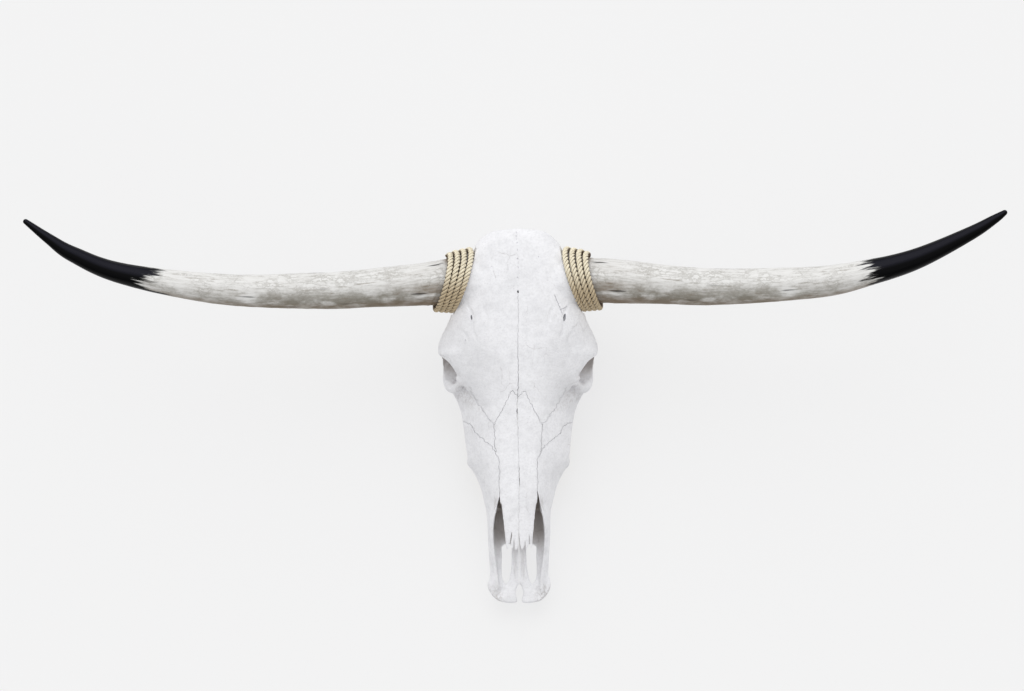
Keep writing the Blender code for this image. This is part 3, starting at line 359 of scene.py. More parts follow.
class SkullRopeSettings(bpy.types.PropertyGroup):
    radius: length("Rope radius", 0.0045, "Half the thickness of the laid rope")
    lay: length("Lay length", 0.0205, "Length in which a strand goes once round the rope")
    step: length("Step", 0.0014, "Distance between two rings of a strand")
    # The rope's colours are painted light and shade: pale sunlit fibre on the poll side, tan on the nose side,
    # and a dark colour deep between the strands and under the rope.
    fibre: colour("Fibre", (0.99, 0.91, 0.71), "Sunlit fibre")
    tan: colour("Tan", (0.40, 0.28, 0.135), "Browner fibre on the side of the nose")
    crevice_shade: colour("Crevice", (0.10, 0.055, 0.02), "Fibre deep between the strands")


class SkullStageSettings(bpy.types.PropertyGroup):
    distance: length("Camera distance", 4.2, "From the brow to the camera")
    elevation: FloatProperty(name="Elevation", description="Height of the camera above the floor",
                             default=math.radians(80), subtype="ANGLE")
    frame_width: length("Frame width", 1.536, "Width that the picture takes in at the height of the brow")
    floor: colour("Floor", (0.30, 0.30, 0.302), "Plain pale floor")
    glow: FloatProperty(name="Floor glow", default=0.60, description="Light that the floor gives off by itself")
    ambient_low: FloatProperty(name="Light from the nose side", default=0.60,
                               description="Strength of the studio light from the side of the nose")
    ambient_high: FloatProperty(name="Light from the poll side", default=0.83,
                                description="Strength of the studio light from the side of the poll")
    horizon: FloatProperty(name="Light from the sides", default=0.50,
                           description="Share of the studio light that comes from low down")
    key: FloatProperty(name="Key light", default=0.74,
                       description="Strength of the soft lamp on the side of the poll")
    backdrop: FloatProperty(name="Backdrop", default=0.87, description="Paleness of the wall beyond the floor")


# ---- modelling helpers ------------------------------------------------------------------------------

def choose(*pieces):
    """Selects these pieces and nothing else, the first of them active."""
    for other in bpy.context.selected_objects:
        other.select_set(False)
    for piece in pieces:
        piece.select_set(True)
    bpy.context.view_layer.objects.active = pieces[0]


def shape(piece, kind, **settings):
    """Adds one modifier with these settings to the piece and applies it."""
    step = piece.modifiers.new(kind.lower(), kind)
    for name, value in settings.items():
        setattr(step, name, value)
    choose(piece)
    bpy.ops.object.modifier_apply(modifier=step.name)


def carve(piece, cutter):
    """Cuts one closed piece out of another and removes the cutter."""
    shape(piece, "BOOLEAN", operation="DIFFERENCE", solver="MANIFOLD", object=cutter)
    bpy.data.objects.remove(cutter, do_unlink=True)


def curve_through(rows, steps):
    """Rows of numbers on a Catmull-Rom curve through the given rows, with this many steps between two."""
    first = [2 * a - b for a, b in zip(rows[0], rows[1])]
    last = [2 * a - b for a, b in zip(rows[-1], rows[-2])]
    padded = [first, *rows, last]
    made = []
    for a, b, c, d in zip(padded, padded[1:], padded[2:], padded[3:]):
        for step in range(steps):
            t = step / steps
            made.append([
                0.5 * (2 * q + (r - p) * t + (2 * p - 5 * q + 4 * r - s) * t * t
                       + (3 * q - p - 3 * r + s) * t ** 3)
                for p, q, r, s in zip(a, b, c, d)
            ])
    made.append(list(rows[-1]))
    return made


def as_object(name, bm):
    mesh = bpy.data.meshes.new(name)
    bmesh.ops.recalc_face_normals(bm, faces=bm.faces)
    bm.to_mesh(mesh)
    bm.free()
    made = bpy.data.objects.new(name, mesh)
    bpy.context.scene.collection.objects.link(made)
    return made


def loft(name, rings, closed=False):
    """A tube through rings of points, each with as many points, capped at both ends or closed on itself."""
    bm = bmesh.new()
    rows = [[bm.verts.new(point) for point in ring] for ring in rings]
    pairs = list(zip(rows, rows[1:]))
    if closed:
        pairs.append((rows[-1], rows[0]))
    else:
        bm.faces.new(rows[0])
        bm.faces.new(rows[-1])
    for near, far in pairs:
        for i in range(len(near)):
            j = (i + 1) % len(near)
            bm.faces.new((near[i], near[j], far[j], far[i]))
    return as_object(name, bm)


def circle(sides):
    """Evenly spaced angles once round."""
    return [2 * math.pi * i / sides for i in range(sides)]


def whole_ring(half, station):
    """A ring across the skull from the right half of its section, given from top to bottom."""
    smooth = curve_through(half, 6)
    right = [(x, station, z) for x, z in smooth]
    left = [(-x, station, z) for x, z in reversed(smooth[1:-1])]
    return right + left


def ball(name, centre, radii, turn=(0, 0, 0), segments=48):
    """An ellipsoid, turned about X, then Y, then Z by the three angles."""
    bpy.ops.mesh.primitive_uv_sphere_add(segments=segments, ring_count=segments // 2, location=centre,
                                         rotation=turn, scale=radii)
    made = bpy.context.active_object
    made.name = name
    choose(made)
    bpy.ops.object.transform_apply(location=True, rotation=True, scale=True)
    return made


def rod(name, points, steps=6, resolution=6, closed=False):
    """A round bar through points (x, y, z, radius)."""
    curve = bpy.data.curves.new(name, "CURVE")
    curve.dimensions = "3D"
    curve.bevel_depth = 1
    curve.bevel_resolution = resolution
    curve.use_fill_caps = True
    path = points if closed else curve_through(points, steps)
    spline = curve.splines.new("POLY")
    spline.points.add(len(path) - 1)
    spline.use_cyclic_u = closed
    for point, (x, y, z, radius) in zip(spline.points, path):
        point.co = (x, y, z, 1)
        point.radius = radius
    made = bpy.data.objects.new(name, curve)
    bpy.context.scene.collection.objects.link(made)
    return meshed(made)


def plate(name, outline, height, thickness):
    """A flat piece from an outline seen from above."""
    curve = bpy.data.curves.new(name, "CURVE")
    curve.dimensions = "2D"
    curve.fill_mode = "BOTH"
    curve.extrude = thickness / 2
    path = curve_through([*outline, outline[0]], 4)[:-1]
    spline = curve.splines.new("POLY")
    spline.points.add(len(path) - 1)
    spline.use_cyclic_u = True
    for point, (x, y) in zip(spline.points, path):
        point.co = (x, y, 0, 1)
    made = bpy.data.objects.new(name, curve)
    made.location.z = height
    bpy.context.scene.collection.objects.link(made)
    return meshed(made)


def meshed(curved):
    """Turns a curve into a welded, closed mesh with its place in the mesh."""
    choose(curved)
    bpy.ops.object.convert(target="MESH")
    made = bpy.context.active_object
    bpy.ops.object.transform_apply(location=True, rotation=True, scale=True)
    bpy.ops.object.mode_set(mode="EDIT")
    bpy.ops.mesh.select_all(action="SELECT")
    bpy.ops.mesh.remove_doubles(threshold=1e-6)
    bpy.ops.mesh.normals_make_consistent(inside=False)
    bpy.ops.object.mode_set(mode="OBJECT")
    return made


def mirrored(piece):
    """Adds the left side of a right-hand form to its own mesh."""
    shape(piece, "MIRROR", use_mirror_merge=False)
    return piece


def joined(name, parts):
    choose(*parts)
    bpy.ops.object.join()
    made = bpy.context.active_object
    made.name = name
    made.data.name = name
    return made


def remesh(piece, size, smoothing):
    shape(piece, "REMESH", mode="VOXEL", voxel_size=size, adaptivity=0)
    shape(piece, "SMOOTH", factor=0.5, iterations=smoothing)


def relief(piece, name, size, height):
    """Raises and sinks the surface by a soft cloud pattern with features of this size."""
    pattern = bpy.data.textures.new(name, "CLOUDS")
    pattern.noise_scale = size
    pattern.noise_depth = 2
    shape(piece, "DISPLACE", texture=pattern, texture_coords="LOCAL", strength=height, mid_level=0.5)


# ---- forms of the bones -----------------------------------------------------------------------------

def vault_half(crown, brow_w, brow_z, waist_w, waist_z, base_w, base_z):
    drop = crown - brow_z
    return (
        (0, crown),
        (0.40 * brow_w, crown - 0.05 * drop),
        (0.78 * brow_w, crown - 0.40 * drop),
        (brow_w, brow_z),
        (0.94 * brow_w, brow_z - 0.010),
        (waist_w + 0.3 * (brow_w - waist_w), 0.75 * brow_z + 0.25 * waist_z),
        (waist_w, waist_z),
        (0.5 * (waist_w + base_w), 0.5 * (waist_z + base_z)),
        (base_w, base_z + 0.010),
        (0.6 * base_w, base_z),
        (0, base_z),
    )


def face_half(roof, nasal_w, cheek_w, cheek_z, alveolar_w, alveolar_z, palate_z):
    fall = roof - cheek_z
    return (
        (0, roof),
        (0.55 * nasal_w, roof - 0.0012),
        (nasal_w, roof - 0.0065),
        (nasal_w + 0.50 * (cheek_w - nasal_w), roof - 0.40 * fall),
        (nasal_w + 0.86 * (cheek_w - nasal_w), roof - 0.76 * fall),
        (cheek_w, cheek_z),
        (alveolar_w + 0.35 * (cheek_w - alveolar_w), 0.5 * (cheek_z + alveolar_z)),
        (alveolar_w, alveolar_z),
        (alveolar_w - 0.010, alveolar_z - 0.003),
        (alveolar_w - 0.021, alveolar_z),
        (alveolar_w - 0.029, palate_z - 0.004),
        (0.4 * alveolar_w, palate_z),
        (0, palate_z),
    )


def vault():
    return loft("vault", [whole_ring(vault_half(*row[1:]), row[0]) for row in curve_through(VAULT, 8)])


def face():
    return loft("face", [whole_ring(face_half(*row[1:]), row[0]) for row in curve_through(FACE, 8)])


def nasal_roof():
    """The free end of the two nasal bones, a low arch with a rounded edge."""
    rings = []
    for station, top, half_width, thickness in curve_through(NASAL_TIP, 6):
        across = [half_width * i / 12 for i in range(-12, 13)]
        upper = [(x, station, top - 0.006 * (x / half_width) ** 2) for x in across]
        lower = [(0.94 * x, station, z - thickness) for x, _, z in reversed(upper)]
        rings.append(upper + lower)
    return loft("nasal_roof", rings)


def orbit_rim():
    smooth = curve_through([ORBIT_RIM[-1], *ORBIT_RIM, ORBIT_RIM[0], ORBIT_RIM[1]], 6)[6:-7]
    return rod("orbit_rim", smooth, closed=True)


def incisive_wall():
    """A thin wall that leans in towards the opening of the nose and falls away to the front."""
    rings = []
    for station, top_x, top_z, low_x, low_z, half_thickness in curve_through(INCISIVE_WALL, 6):
        middle = Vector(((top_x + low_x) / 2, station, (top_z + low_z) / 2))
        up = Vector((top_x, station, top_z)) - middle
        across = Vector((up.z, 0, -up.x)).normalized() * half_thickness
        up = up + up.normalized() * half_thickness
        rings.append([middle + across * math.cos(a) + up * math.sin(a) for a in circle(32)])
    return loft("incisive_wall", rings)


def incisive_plate():
    """The flat front of the incisive bone, which rises towards the back."""
    made = plate("incisive_plate", INCISIVE_PLATE, INCISIVE_PLATE_HEIGHT, INCISIVE_PLATE_THICKNESS)
    for vertex in made.data.vertices:
        vertex.co.z += INCISIVE_PLATE_RISE * (vertex.co.y + INCISIVE_PLATE_LEVEL)
    return made


def pterygoid():
    """The thin upright wall beside the inner nostril, with its hook."""
    rings = []
    for station, x, low, high, half_width in (
        (-0.006, 0.036, 0.040, 0.100, 0.006), (0.020, 0.033, 0.036, 0.100, 0.004),
        (0.045, 0.030, 0.030, 0.098, 0.0032), (0.066, 0.030, 0.024, 0.094, 0.003),
        (0.082, 0.029, 0.052, 0.092, 0.003), (0.104, 0.027, 0.066, 0.090, 0.004),
    ):
        middle = (low + high) / 2
        rings.append([(x + half_width * math.cos(a), station, middle + (high - low) / 2 * math.sin(a))
                      for a in circle(24)])
    return loft("pterygoid", rings)


def palate_shelf():
    """The floor of the nose between the side walls, forward of the cheek teeth."""
    outline = ((-0.001, -0.130), (0.040, -0.130), (0.044, -0.170), (0.042, -0.205), (0.030, -0.213),
               (0.021, -0.209), (0.012, -0.209), (-0.001, -0.209))
    made = plate("palate_shelf", outline, 0.047, 0.009)
    for vertex in made.data.vertices:
        vertex.co.z += INCISIVE_PLATE_RISE * min(0.0, vertex.co.y + 0.165)
    return made


def side_forms():
    """The forms of the right side, which are mirrored."""
    return [
        orbit_rim(), incisive_wall(), incisive_plate(), pterygoid(), palate_shelf(),
        rod("cheekbone", (
            (0.072, -0.030, 0.086, 0.009), (0.0845, 0.006, 0.090, 0.0090), (0.096, 0.032, 0.092, 0.0100),
            (0.104, 0.062, 0.101, 0.0070), (0.101, 0.088, 0.107, 0.0065), (0.092, 0.116, 0.110, 0.0080),
            (0.078, 0.140, 0.112, 0.0115), (0.062, 0.162, 0.115, 0.015))),
        rod("pedicle", (
            (0.010, 0.180, 0.160, 0.028), (0.045, 0.1795, 0.160, 0.0395), (0.075, 0.1785, 0.166, 0.0420),
            (0.099, 0.1775, 0.172, 0.0395), (0.130, 0.1730, 0.181, 0.0370))),
        rod("wall_foot", ((0.0380, -0.150, 0.050, 0.006), (0.0370, -0.190, 0.0465, 0.0075),
                          (0.0352, -0.230, 0.0400, 0.0072), (0.0335, -0.262, 0.0355, 0.0062),
                          (0.0330, -0.280, 0.0340, 0.0050))),
        ball("facial_tuber", (0.0665, -0.085, 0.073), (0.0128, 0.013, 0.013)),
        ball("tear_bump", (0.0905, 0.0315, 0.1405), (0.0042, 0.0046, 0.0040)),
        ball("tear_bump", (0.0868, 0.0245, 0.1355), (0.0040, 0.0042, 0.0042)),
        ball("nape_ridge", (0.036, 0.236, 0.176), (0.026, 0.012, 0.010), (0, 0.25, -0.25)),
        ball("condyle", (0.026, 0.240, 0.066), (0.015, 0.019, 0.026), (0.5, 0, 0.35)),
        rod("jugular", ((0.058, 0.196, 0.090, 0.014), (0.061, 0.204, 0.052, 0.0115),
                        (0.059, 0.208, 0.018, 0.0080), (0.057, 0.208, -0.004, 0.0062))),
        ball("mastoid", (0.063, 0.190, 0.106), (0.019, 0.030, 0.024)),
        rod("nape_crest", ((0.048, 0.231, 0.172, 0.012), (0.056, 0.224, 0.146, 0.012),
                           (0.062, 0.210, 0.116, 0.013), (0.062, 0.202, 0.086, 0.014))),
        ball("ear_tube", (0.076, 0.166, 0.098), (0.012, 0.010, 0.009)),
        ball("bulla", (0.041, 0.166, 0.053), (0.011, 0.022, 0.019), (0.2, 0.15, 0)),
        ball("jaw_joint", (0.070, 0.136, 0.106), (0.026, 0.015, 0.010)),
        rod("petrous", ((0.020, 0.190, 0.075, 0.016), (0.050, 0.180, 0.080, 0.018),
                        (0.066, 0.170, 0.092, 0.014))),
        rod("wing", ((0.030, 0.120, 0.090, 0.014), (0.046, 0.130, 0.100, 0.013),
                     (0.062, 0.138, 0.106, 0.011))),
        rod("gum", ((0.060, 0.004, 0.030, 0.009), (0.062, -0.026, 0.028, 0.0135),
                    (0.0605, -0.060, 0.030, 0.0130), (0.054, -0.085, 0.032, 0.0115),
                    (0.046, -0.104, 0.034, 0.0105), (0.040, -0.124, 0.040, 0.0085))),
    ]


def middle_forms():
    return [
        vault(), face(), nasal_roof(),
        rod("skull_base", ((0, 0.236, 0.062, 0.018), (0, 0.200, 0.058, 0.020), (0, 0.160, 0.060, 0.018),
                           (0, 0.110, 0.070, 0.015), (0, 0.060, 0.084, 0.013))),
        ball("nape_bump", (0, 0.242, 0.146), (0.013, 0.009, 0.020), (0.1, 0, 0)),
    ]


# ---- hollows ----------------------------------------------------------------------------------------

def nose_cavity():
    """The tunnel under the nasal bones, with a low ridge along the middle of its floor."""
    rings = []
    for station, half_width, low, high in curve_through(NOSE, 4):
        half = (
            (0, high),
            (0.55 * half_width, high - 0.0025),
            (0.72 * half_width, high - 0.0095),
            (half_width, 0.5 * low + 0.5 * high),
            (0.9 * half_width, low + 0.006),
            (0.5 * half_width, low),
            (0.1 * half_width, low + 0.004),
            (0, low + 0.006),
        )
        rings.append(whole_ring(half, station))
    return loft("nose_cavity", rings)


def inner_nostril():
    """The channel between the pterygoid walls, from behind the palate forward into the nose."""
    rings = [whole_ring(((0, high), (wide, 0.5 * (low + high)), (0.8 * wide, low), (0, low)), station)
             for station, wide, low, high in (
                 (0.120, 0.020, 0.010, 0.060), (0.090, 0.024, 0.010, 0.068), (0.050, 0.025, 0.012, 0.076),
                 (0.020, 0.025, 0.030, 0.082), (-0.008, 0.022, 0.054, 0.090), (-0.030, 0.020, 0.058, 0.090))]
    return loft("inner_nostril", rings)


def orbit_cavity(side):
    """The eye socket's hollow. Its surface is roughened, which leaves the brow's rim ragged."""
    made = ball("orbit_cavity", ORBIT_CAVITY, ORBIT_CAVITY_RADII, (0, ORBIT_TILT, ORBIT_FACING), 160)
    middle = Vector(ORBIT_CAVITY)
    for vertex in made.data.vertices:
        out = (vertex.co - middle).normalized()
        rough = noise.fractal(vertex.co * 330 + Vector((9 * side, 0, 0)), 0.8, 2.0, 3)
        vertex.co += out * ORBIT_ROUGHNESS * rough
    if side < 0:
        shape(made, "MIRROR", use_mirror_merge=False, use_bisect_axis=(False, False, False))
        keep_side(made, side)
    return made


def keep_side(piece, side):
    """Keeps the half of a mirrored mesh that lies on one side of the midline."""
    bm = bmesh.new()
    bm.from_mesh(piece.data)
    bmesh.ops.delete(bm, geom=[v for v in bm.verts if v.co.x * side < 0], context="VERTS")
    bm.to_mesh(piece.data)
    bm.free()


# ---- sutures ----------------------------------------------------------------------------------------

def jagged(path, spacing, depth, seed):
    """The path in short uneven steps that wander to either side of it, as the edges of grown bones do."""
    dice = random.Random(seed)
    smooth = [Vector(point) for point in curve_through(path, 24)]
    made = [smooth[0]]
    gone, wanted, side = 0.0, spacing * 0.5, 1
    for here, there in zip(smooth, smooth[1:]):
        gone += (there - here).length
        if gone < wanted:
            continue
        gone, wanted = 0.0, spacing * dice.uniform(0.25, 0.8)
        if dice.random() < 0.8:
            side = -side
        along = (there - here).normalized()
        wander = noise.noise(Vector((there.x * 190, there.y * 190, seed * 3.3)))
        sway = depth * (1.1 * wander + side * dice.uniform(0.1, 0.75))
        made.append(there + Vector((-along.y, along.x)) * sway)
    made[-1] = smooth[-1]
    return made


def ribbon(name, path, width, low, high):
    """A thin standing wall on a path seen from above. Width, low and high are numbers or depend on the
    point: each may be a function of it."""
    def at(value, point):
        return value(point) if callable(value) else value

    rings = []
    for i, point in enumerate(path):
        along = (path[min(i + 1, len(path) - 1)] - path[max(i - 1, 0)]).normalized()
        across = Vector((-along.y, along.x)) * at(width, point) / 2
        left, right = point + across, point - across
        bottom, top = at(low, point), at(high, point)
        rings.append([(*left, bottom), (*left, top), (*right, top), (*right, bottom)])
    return loft(name, rings)


def slab(name, corners, thickness):
    """A thin flat sheet with the given corners."""
    bm = bmesh.new()
    bm.faces.new([bm.verts.new(corner) for corner in corners])
    made = as_object(name, bm)
    shape(made, "SOLIDIFY", thickness=thickness, offset=0, use_even_offset=True)
    return made


def flipped(path):
    return [Vector((-point[0], point[1])) for point in path]


def nasal_floor(station):
    return NASAL_FLOOR[0] + NASAL_FLOOR[1] * station


def crack_width(point):
    """Width of the seam along the middle of the face."""
    wide = CLOSED_SEAM
    for middle, reach, amount in SEAM_OPENINGS:
        wide += amount * max(0.0, 1 - ((point.y - middle) / reach) ** 2)
    return wide


def partings(seam):
    """The cutters that part the bones, in the order that they cut."""
    edge, front = NASAL_OUTLINE[-1]
    right = [*jagged(NASAL_OUTLINE[:-1], 0.0028, 0.0013, 3), Vector((edge, front))]
    left = flipped([*jagged(NASAL_OUTLINE[:-1], 0.0026, 0.0013, 4), Vector((edge, front))])
    outline = [*reversed(left), *right[1:]]
    yield ribbon("nasal_walls", outline, seam, lambda p: nasal_floor(p.y) - 0.005, 0.2)
    yield slab("nasal_underside", [(*point, nasal_floor(point.y)) for point in outline], seam)
    middle = [*jagged(MIDDLE_SUTURE, 0.0050, 0.0005, 5), Vector((0, 0.0012)), Vector((0, JAW_BACK + OVERLAP))]
    yield ribbon("middle", middle, crack_width, UNDER_ALL,
                 lambda p: OVER_ALL if p.y < 0.0011 else CHEEK_PARTING + OVERLAP)
    x, y = CHEEK_SUTURE[0]
    inner = Vector((x - 0.0016, y))
    paths = [[inner, *jagged(CHEEK_SUTURE, 0.0030, 0.0014, 7)],
             flipped([inner, *jagged(CHEEK_SUTURE, 0.0028, 0.0014, 5)])]
    for path in paths:
        yield ribbon("cheek", path, seam, CHEEK_PARTING - OVERLAP, OVER_ALL)
    yield ribbon("under_nasals", [Vector((-x, y)), Vector((x, y))], seam, CHEEK_PARTING - OVERLAP,
                 nasal_floor(y) + OVERLAP)
    back = [Vector((x, JAW_BACK)) for x in (-0.115, 0.115)]
    plan = [*paths[0][1:], *reversed(back), *reversed(paths[1][1:])]
    yield slab("under_socket", [(*point, CHEEK_PARTING) for point in plan], seam)
    yield ribbon("jaw_back", back, seam, UNDER_ALL, CHEEK_PARTING + OVERLAP)
    upper, lower = INCISIVE_SUTURE
    top = upper.lerp(lower, -0.06)
    knee = upper.lerp(lower, 0.12)
    for near, far, start, end in ((edge - 0.0004, 0.08, top, lower), (-0.08, 0.0004 - edge, top, lower),
                                  (-edge - 0.0002, edge + 0.0002, knee, lower)):
        yield slab("incisive", [(near, *start.yz), (far, *start.yz), (far, *end.yz), (near, *end.yz)], seam)


# ---- the skull --------------------------------------------------------------------------------------

class HornRoot:
    """The straight root of one horn, with rings that lie in the slanted planes of the joint or the rope."""

    def __init__(self, line, side):
        path = [Vector(row[:3]) for row in curve_through(line, 8)]
        nearest = min(range(len(path)), key=lambda i: abs(path[i].x - HORN_JOINT))
        self.side = side
        self.centre = path[nearest]
        self.axis = (path[nearest + 1] - path[nearest - 1]).normalized()
        self.plane = ROPE_PLANE.normalized()
        self.up = (Vector((0, 0, 1)) - self.axis * self.axis.z).normalized()
        self.across = self.axis.cross(self.up)

    def point(self, along, angle, radius, plane=None):
        plane = plane or self.plane
        out = (self.up * math.sin(angle) + self.across * math.cos(angle)) * radius
        slide = along - out.dot(plane) / self.axis.dot(plane)
        found = self.centre + self.axis * slide + out
        return Vector((found.x * self.side, found.y, found.z))

    def ring(self, along, radius):
        return [self.point(along, angle, radius) for angle in circle(96)]


ROOTS = {"right": HornRoot(HORN_RIGHT, 1), "left": HornRoot(HORN_LEFT, -1)}


def root_radius(along):
    """Radius of the horn root and its bone core, by the distance outwards from the joint."""
    return ROOT_RADIUS + ROOT_FLARE * max(0.0, ROPE_TURNS * ROPE_PITCH / 2 - along)


def rope_plane(along):
    """The plane of a turn. The inner turns lean more, against the slope of the brow."""
    share = min(1.0, max(0.0, 0.5 + along / (ROPE_TURNS * ROPE_PITCH)))
    return ROPE_LEAN_INNER.lerp(ROPE_LEAN_OUTER, share).normalized()


def rope_along(angle):
    """How far out along the root the rope lies at an angle, which counts up from turn to turn."""
    return ((angle - ROPE_START_ANGLE) / (2 * math.pi) - ROPE_TURNS / 2) * ROPE_LAID_PITCH - ROPE_SHIFT


def rope_bed(root):
    """The hollow round the bone core that the rope fills. Its inner wall follows the first turn, and
    comes back from one turn to the next on the hidden underside."""
    outer, margin, sunk = 0.012, 0.0052, 0.0002
    angles = [ROPE_HIDDEN_ANGLE + turn for turn in circle(120)]
    inner_low, inner_high = [], []
    for i, angle in enumerate(angles):
        back = max(0.0, (i / len(angles) - 0.86) / 0.14)
        along = rope_along(angle) - margin - back * ROPE_LAID_PITCH
        inner_low.append(root.point(along, angle, root_radius(along) - sunk, rope_plane(along)))
        inner_high.append(root.point(along, angle, ROPE_BED_RADIUS, rope_plane(along)))
    outer_low = [root.point(outer, angle, root_radius(outer) - sunk) for angle in angles]
    outer_high = [root.point(outer, angle, ROPE_BED_RADIUS) for angle in angles]
    return loft("rope_bed", [inner_low, outer_low, outer_high, inner_high], closed=True)


def joint_block(root):
    """All that lies outwards from the joint, where the horn takes the place of the bone."""
    return loft("joint_block", [root.ring(0, 0.07), root.ring(0.08, 0.07)])


def surface_height(tree, x, y):
    """Height of the skull's upper surface above a point of the floor."""
    found = tree.ray_cast(Vector((x, y, 0.4)), Vector((0, 0, -1)))[0]
    return found.z


def shallow_seam(tree, name, path, width, depth):
    """A cutter for a suture that only marks the surface."""
    return ribbon(name, path, width, lambda p: surface_height(tree, p.x, p.y) - depth,
                  lambda p: surface_height(tree, p.x, p.y) + 0.004)


def surface_groove(tree, name, path, radius, depth):
    """A cutter for a rounded groove that a vessel leaves, which runs along the surface."""
    path = curve_through(path, 8)
    points = []
    for i, (x, y) in enumerate(path):
        share = min(1.0, 3 * i / (len(path) - 1), 3 * (1 - i / (len(path) - 1)))
        points.append((x, y, surface_height(tree, x, y) + radius - depth * (1.3 * share - 0.3), radius))
    return rod(name, points, steps=1, resolution=4)


def cut_through(name, plans, low, high):
    """A cutter that goes straight down, from closed outlines seen from above."""
    walls = []
    for plan in plans:
        smooth = curve_through([*plan, plan[0]], 4)[:-1]
        walls.append(loft(name, [[(x, y, z) for x, y in smooth] for z in (low, high)]))
    return joined(name, walls)


def surface_marks(tree):
    """The cutters for what only marks the surface: seams, grooves, cracks, pits and the holes of vessels."""
    tears = []
    for side in (1, -1):
        tear = jagged(TEAR_SUTURE, 0.0034, 0.0017, 20 + side)
        tears.append(shallow_seam(tree, "tear_seam", tear if side > 0 else flipped(tear), 0.0005, 0.0020))
    yield joined("tear_seams", tears)
    for path, radius, depth in (*BROW_GROOVES, *PALATE_CHANNELS):
        yield joined("grooves", [surface_groove(tree, "groove", [(x * side, y) for x, y in path], radius, depth)
                                 for side in (1, -1)])
    for path in BROW_CRACKS:
        yield shallow_seam(tree, "brow_crack", jagged(path, 0.0030, 0.0008, 40), 0.0008, 0.0025)
    brow = jagged(BROW_SUTURE, 0.0040, 0.0010, 30)
    yield shallow_seam(tree, "brow_seam", brow, lambda p: 0.0003 + 0.007 * max(0.0, 0.10 - p.y), 0.0035)
    holes = [ball("forehead_pit", (x, y, surface_height(tree, x, y)), (0.0009, 0.0012, 0.002), segments=16)
             for x, y in FOREHEAD_PITS]
    x, y, z = FORAMEN
    for side, wide in zip((1, -1), FORAMEN_HALF_WIDTHS):
        holes.append(ball("brow_foramen", (x * side, y, z), (wide, 3 * wide, 0.012),
                          (0, 0.25 * side, -0.15 * side)))
    yield joined("holes", holes)
    yield ball("forehead_pore", FOREHEAD_PORE, (0.0015, 0.0024, 0.008))


def teeth_blocks():
    """The sockets of the right cheek teeth as plain fluted blocks, a little larger than the teeth."""
    made = []
    for x, middle, half_width, half_length, rise in tooth_places():
        wide, long = half_width * SOCKET_GROWTH, half_length * SOCKET_GROWTH
        rings = [[(x + wide * a, middle + long * b, z) for a, b in SOCKET_OUTLINE] for z in (rise, SOCKET_TOP)]
        made.append(loft("tooth_block", rings))
    return made


def tooth_places():
    station = TEETH_BACK
    for length, x, half_width in TEETH:
        middle = station - length / 2
        rise = max(0.0, PREMOLAR_START - middle) * PREMOLAR_RISE
        yield x, middle, half_width, length * 0.49, rise
        station -= length


BONES = {
    "cranium": "cranium", "nasal_left": "nasal_bone_left", "nasal_right": "nasal_bone_right",
    "maxilla_left": "maxilla_left", "maxilla_right": "maxilla_right",
    "incisive_left": "incisive_bone_left", "incisive_right": "incisive_bone_right",
}


def bone_of(piece):
    """Which bone a loose piece of the skull is, from its extent."""
    corners = [Vector(corner) for corner in piece.bound_box]
    low = Vector([min(c[i] for c in corners) for i in range(3)])
    high = Vector([max(c[i] for c in corners) for i in range(3)])
    side = "right" if low.x + high.x > 0 else "left"
    if high.y > 0.2:
        return "cranium"
    if low.z > 0.085:
        return "nasal_" + side
    if high.y < -0.14:
        return "incisive_" + side
    return "maxilla_" + side


def build_skull(sizes):
    """The whole skull, carved and parted. Returns its bones by name."""
    skull = joined("skull", [mirrored(form) for form in side_forms()] + middle_forms())
    remesh(skull, sizes.fusing, 3)
    openings = [orbit_cavity(1), orbit_cavity(-1),
                ball("foramen_magnum", (0, 0.250, 0.092), (0.018, 0.045, 0.016))]
    for cutter in (nose_cavity(), inner_nostril(), joined("openings", openings)):
        carve(skull, cutter)
    remesh(skull, sizes.surface, 2)
    relief(skull, "broad_relief", 0.045, sizes.broad_relief)
    relief(skull, "fine_relief", 0.007, sizes.fine_relief)
    for cutter in surface_marks(BVHTree.FromObject(skull, bpy.context.evaluated_depsgraph_get())):
        carve(skull, cutter)

    bpy.ops.mesh.primitive_cube_add(size=1, location=(0, 0, -0.015), scale=(0.5, 0.8, 0.03))
    floor_block = bpy.context.active_object
    bpy.ops.object.transform_apply(location=True, rotation=True, scale=True)
    roots = list(ROOTS.values())
    for cutter in (floor_block, cut_through("tip_notches", TIP_NOTCHES, *TIP_CUT),
                   cut_through("tip_edge", [TIP_EDGE], *TIP_CUT),
                   cut_through("opening_tops", OPENING_TOPS, *OPENING_CUT),
                   joined("rope_beds", [rope_bed(root) for root in roots]),
                   joined("joint_blocks", [joint_block(root) for root in roots]),
                   joined("sockets", [mirrored(block) for block in teeth_blocks()])):
        carve(skull, cutter)
    for cutter in partings(sizes.seam):
        carve(skull, cutter)

    choose(skull)
    bpy.ops.mesh.separate(type="LOOSE")
    bones = {}
    for piece in list(bpy.context.selected_objects):
        if len(piece.data.polygons) < CRUMB:
            bpy.data.objects.remove(piece, do_unlink=True)
            continue
        bones.setdefault(bone_of(piece), []).append(piece)
    return {name: joined(name, pieces) for name, pieces in bones.items()}


# ---- horns ------------------------------------------------------------------------------------------

def frames_along(points):
    """For each point of a path: its distance from the start and the unit direction of the path."""
    gone, found = 0.0, []
    for i, point in enumerate(points):
        if i:
            gone += (point - points[i - 1]).length
        along = (points[min(i + 1, len(points) - 1)] - points[max(i - 1, 0)]).normalized()
        found.append((gone, along))
    return found


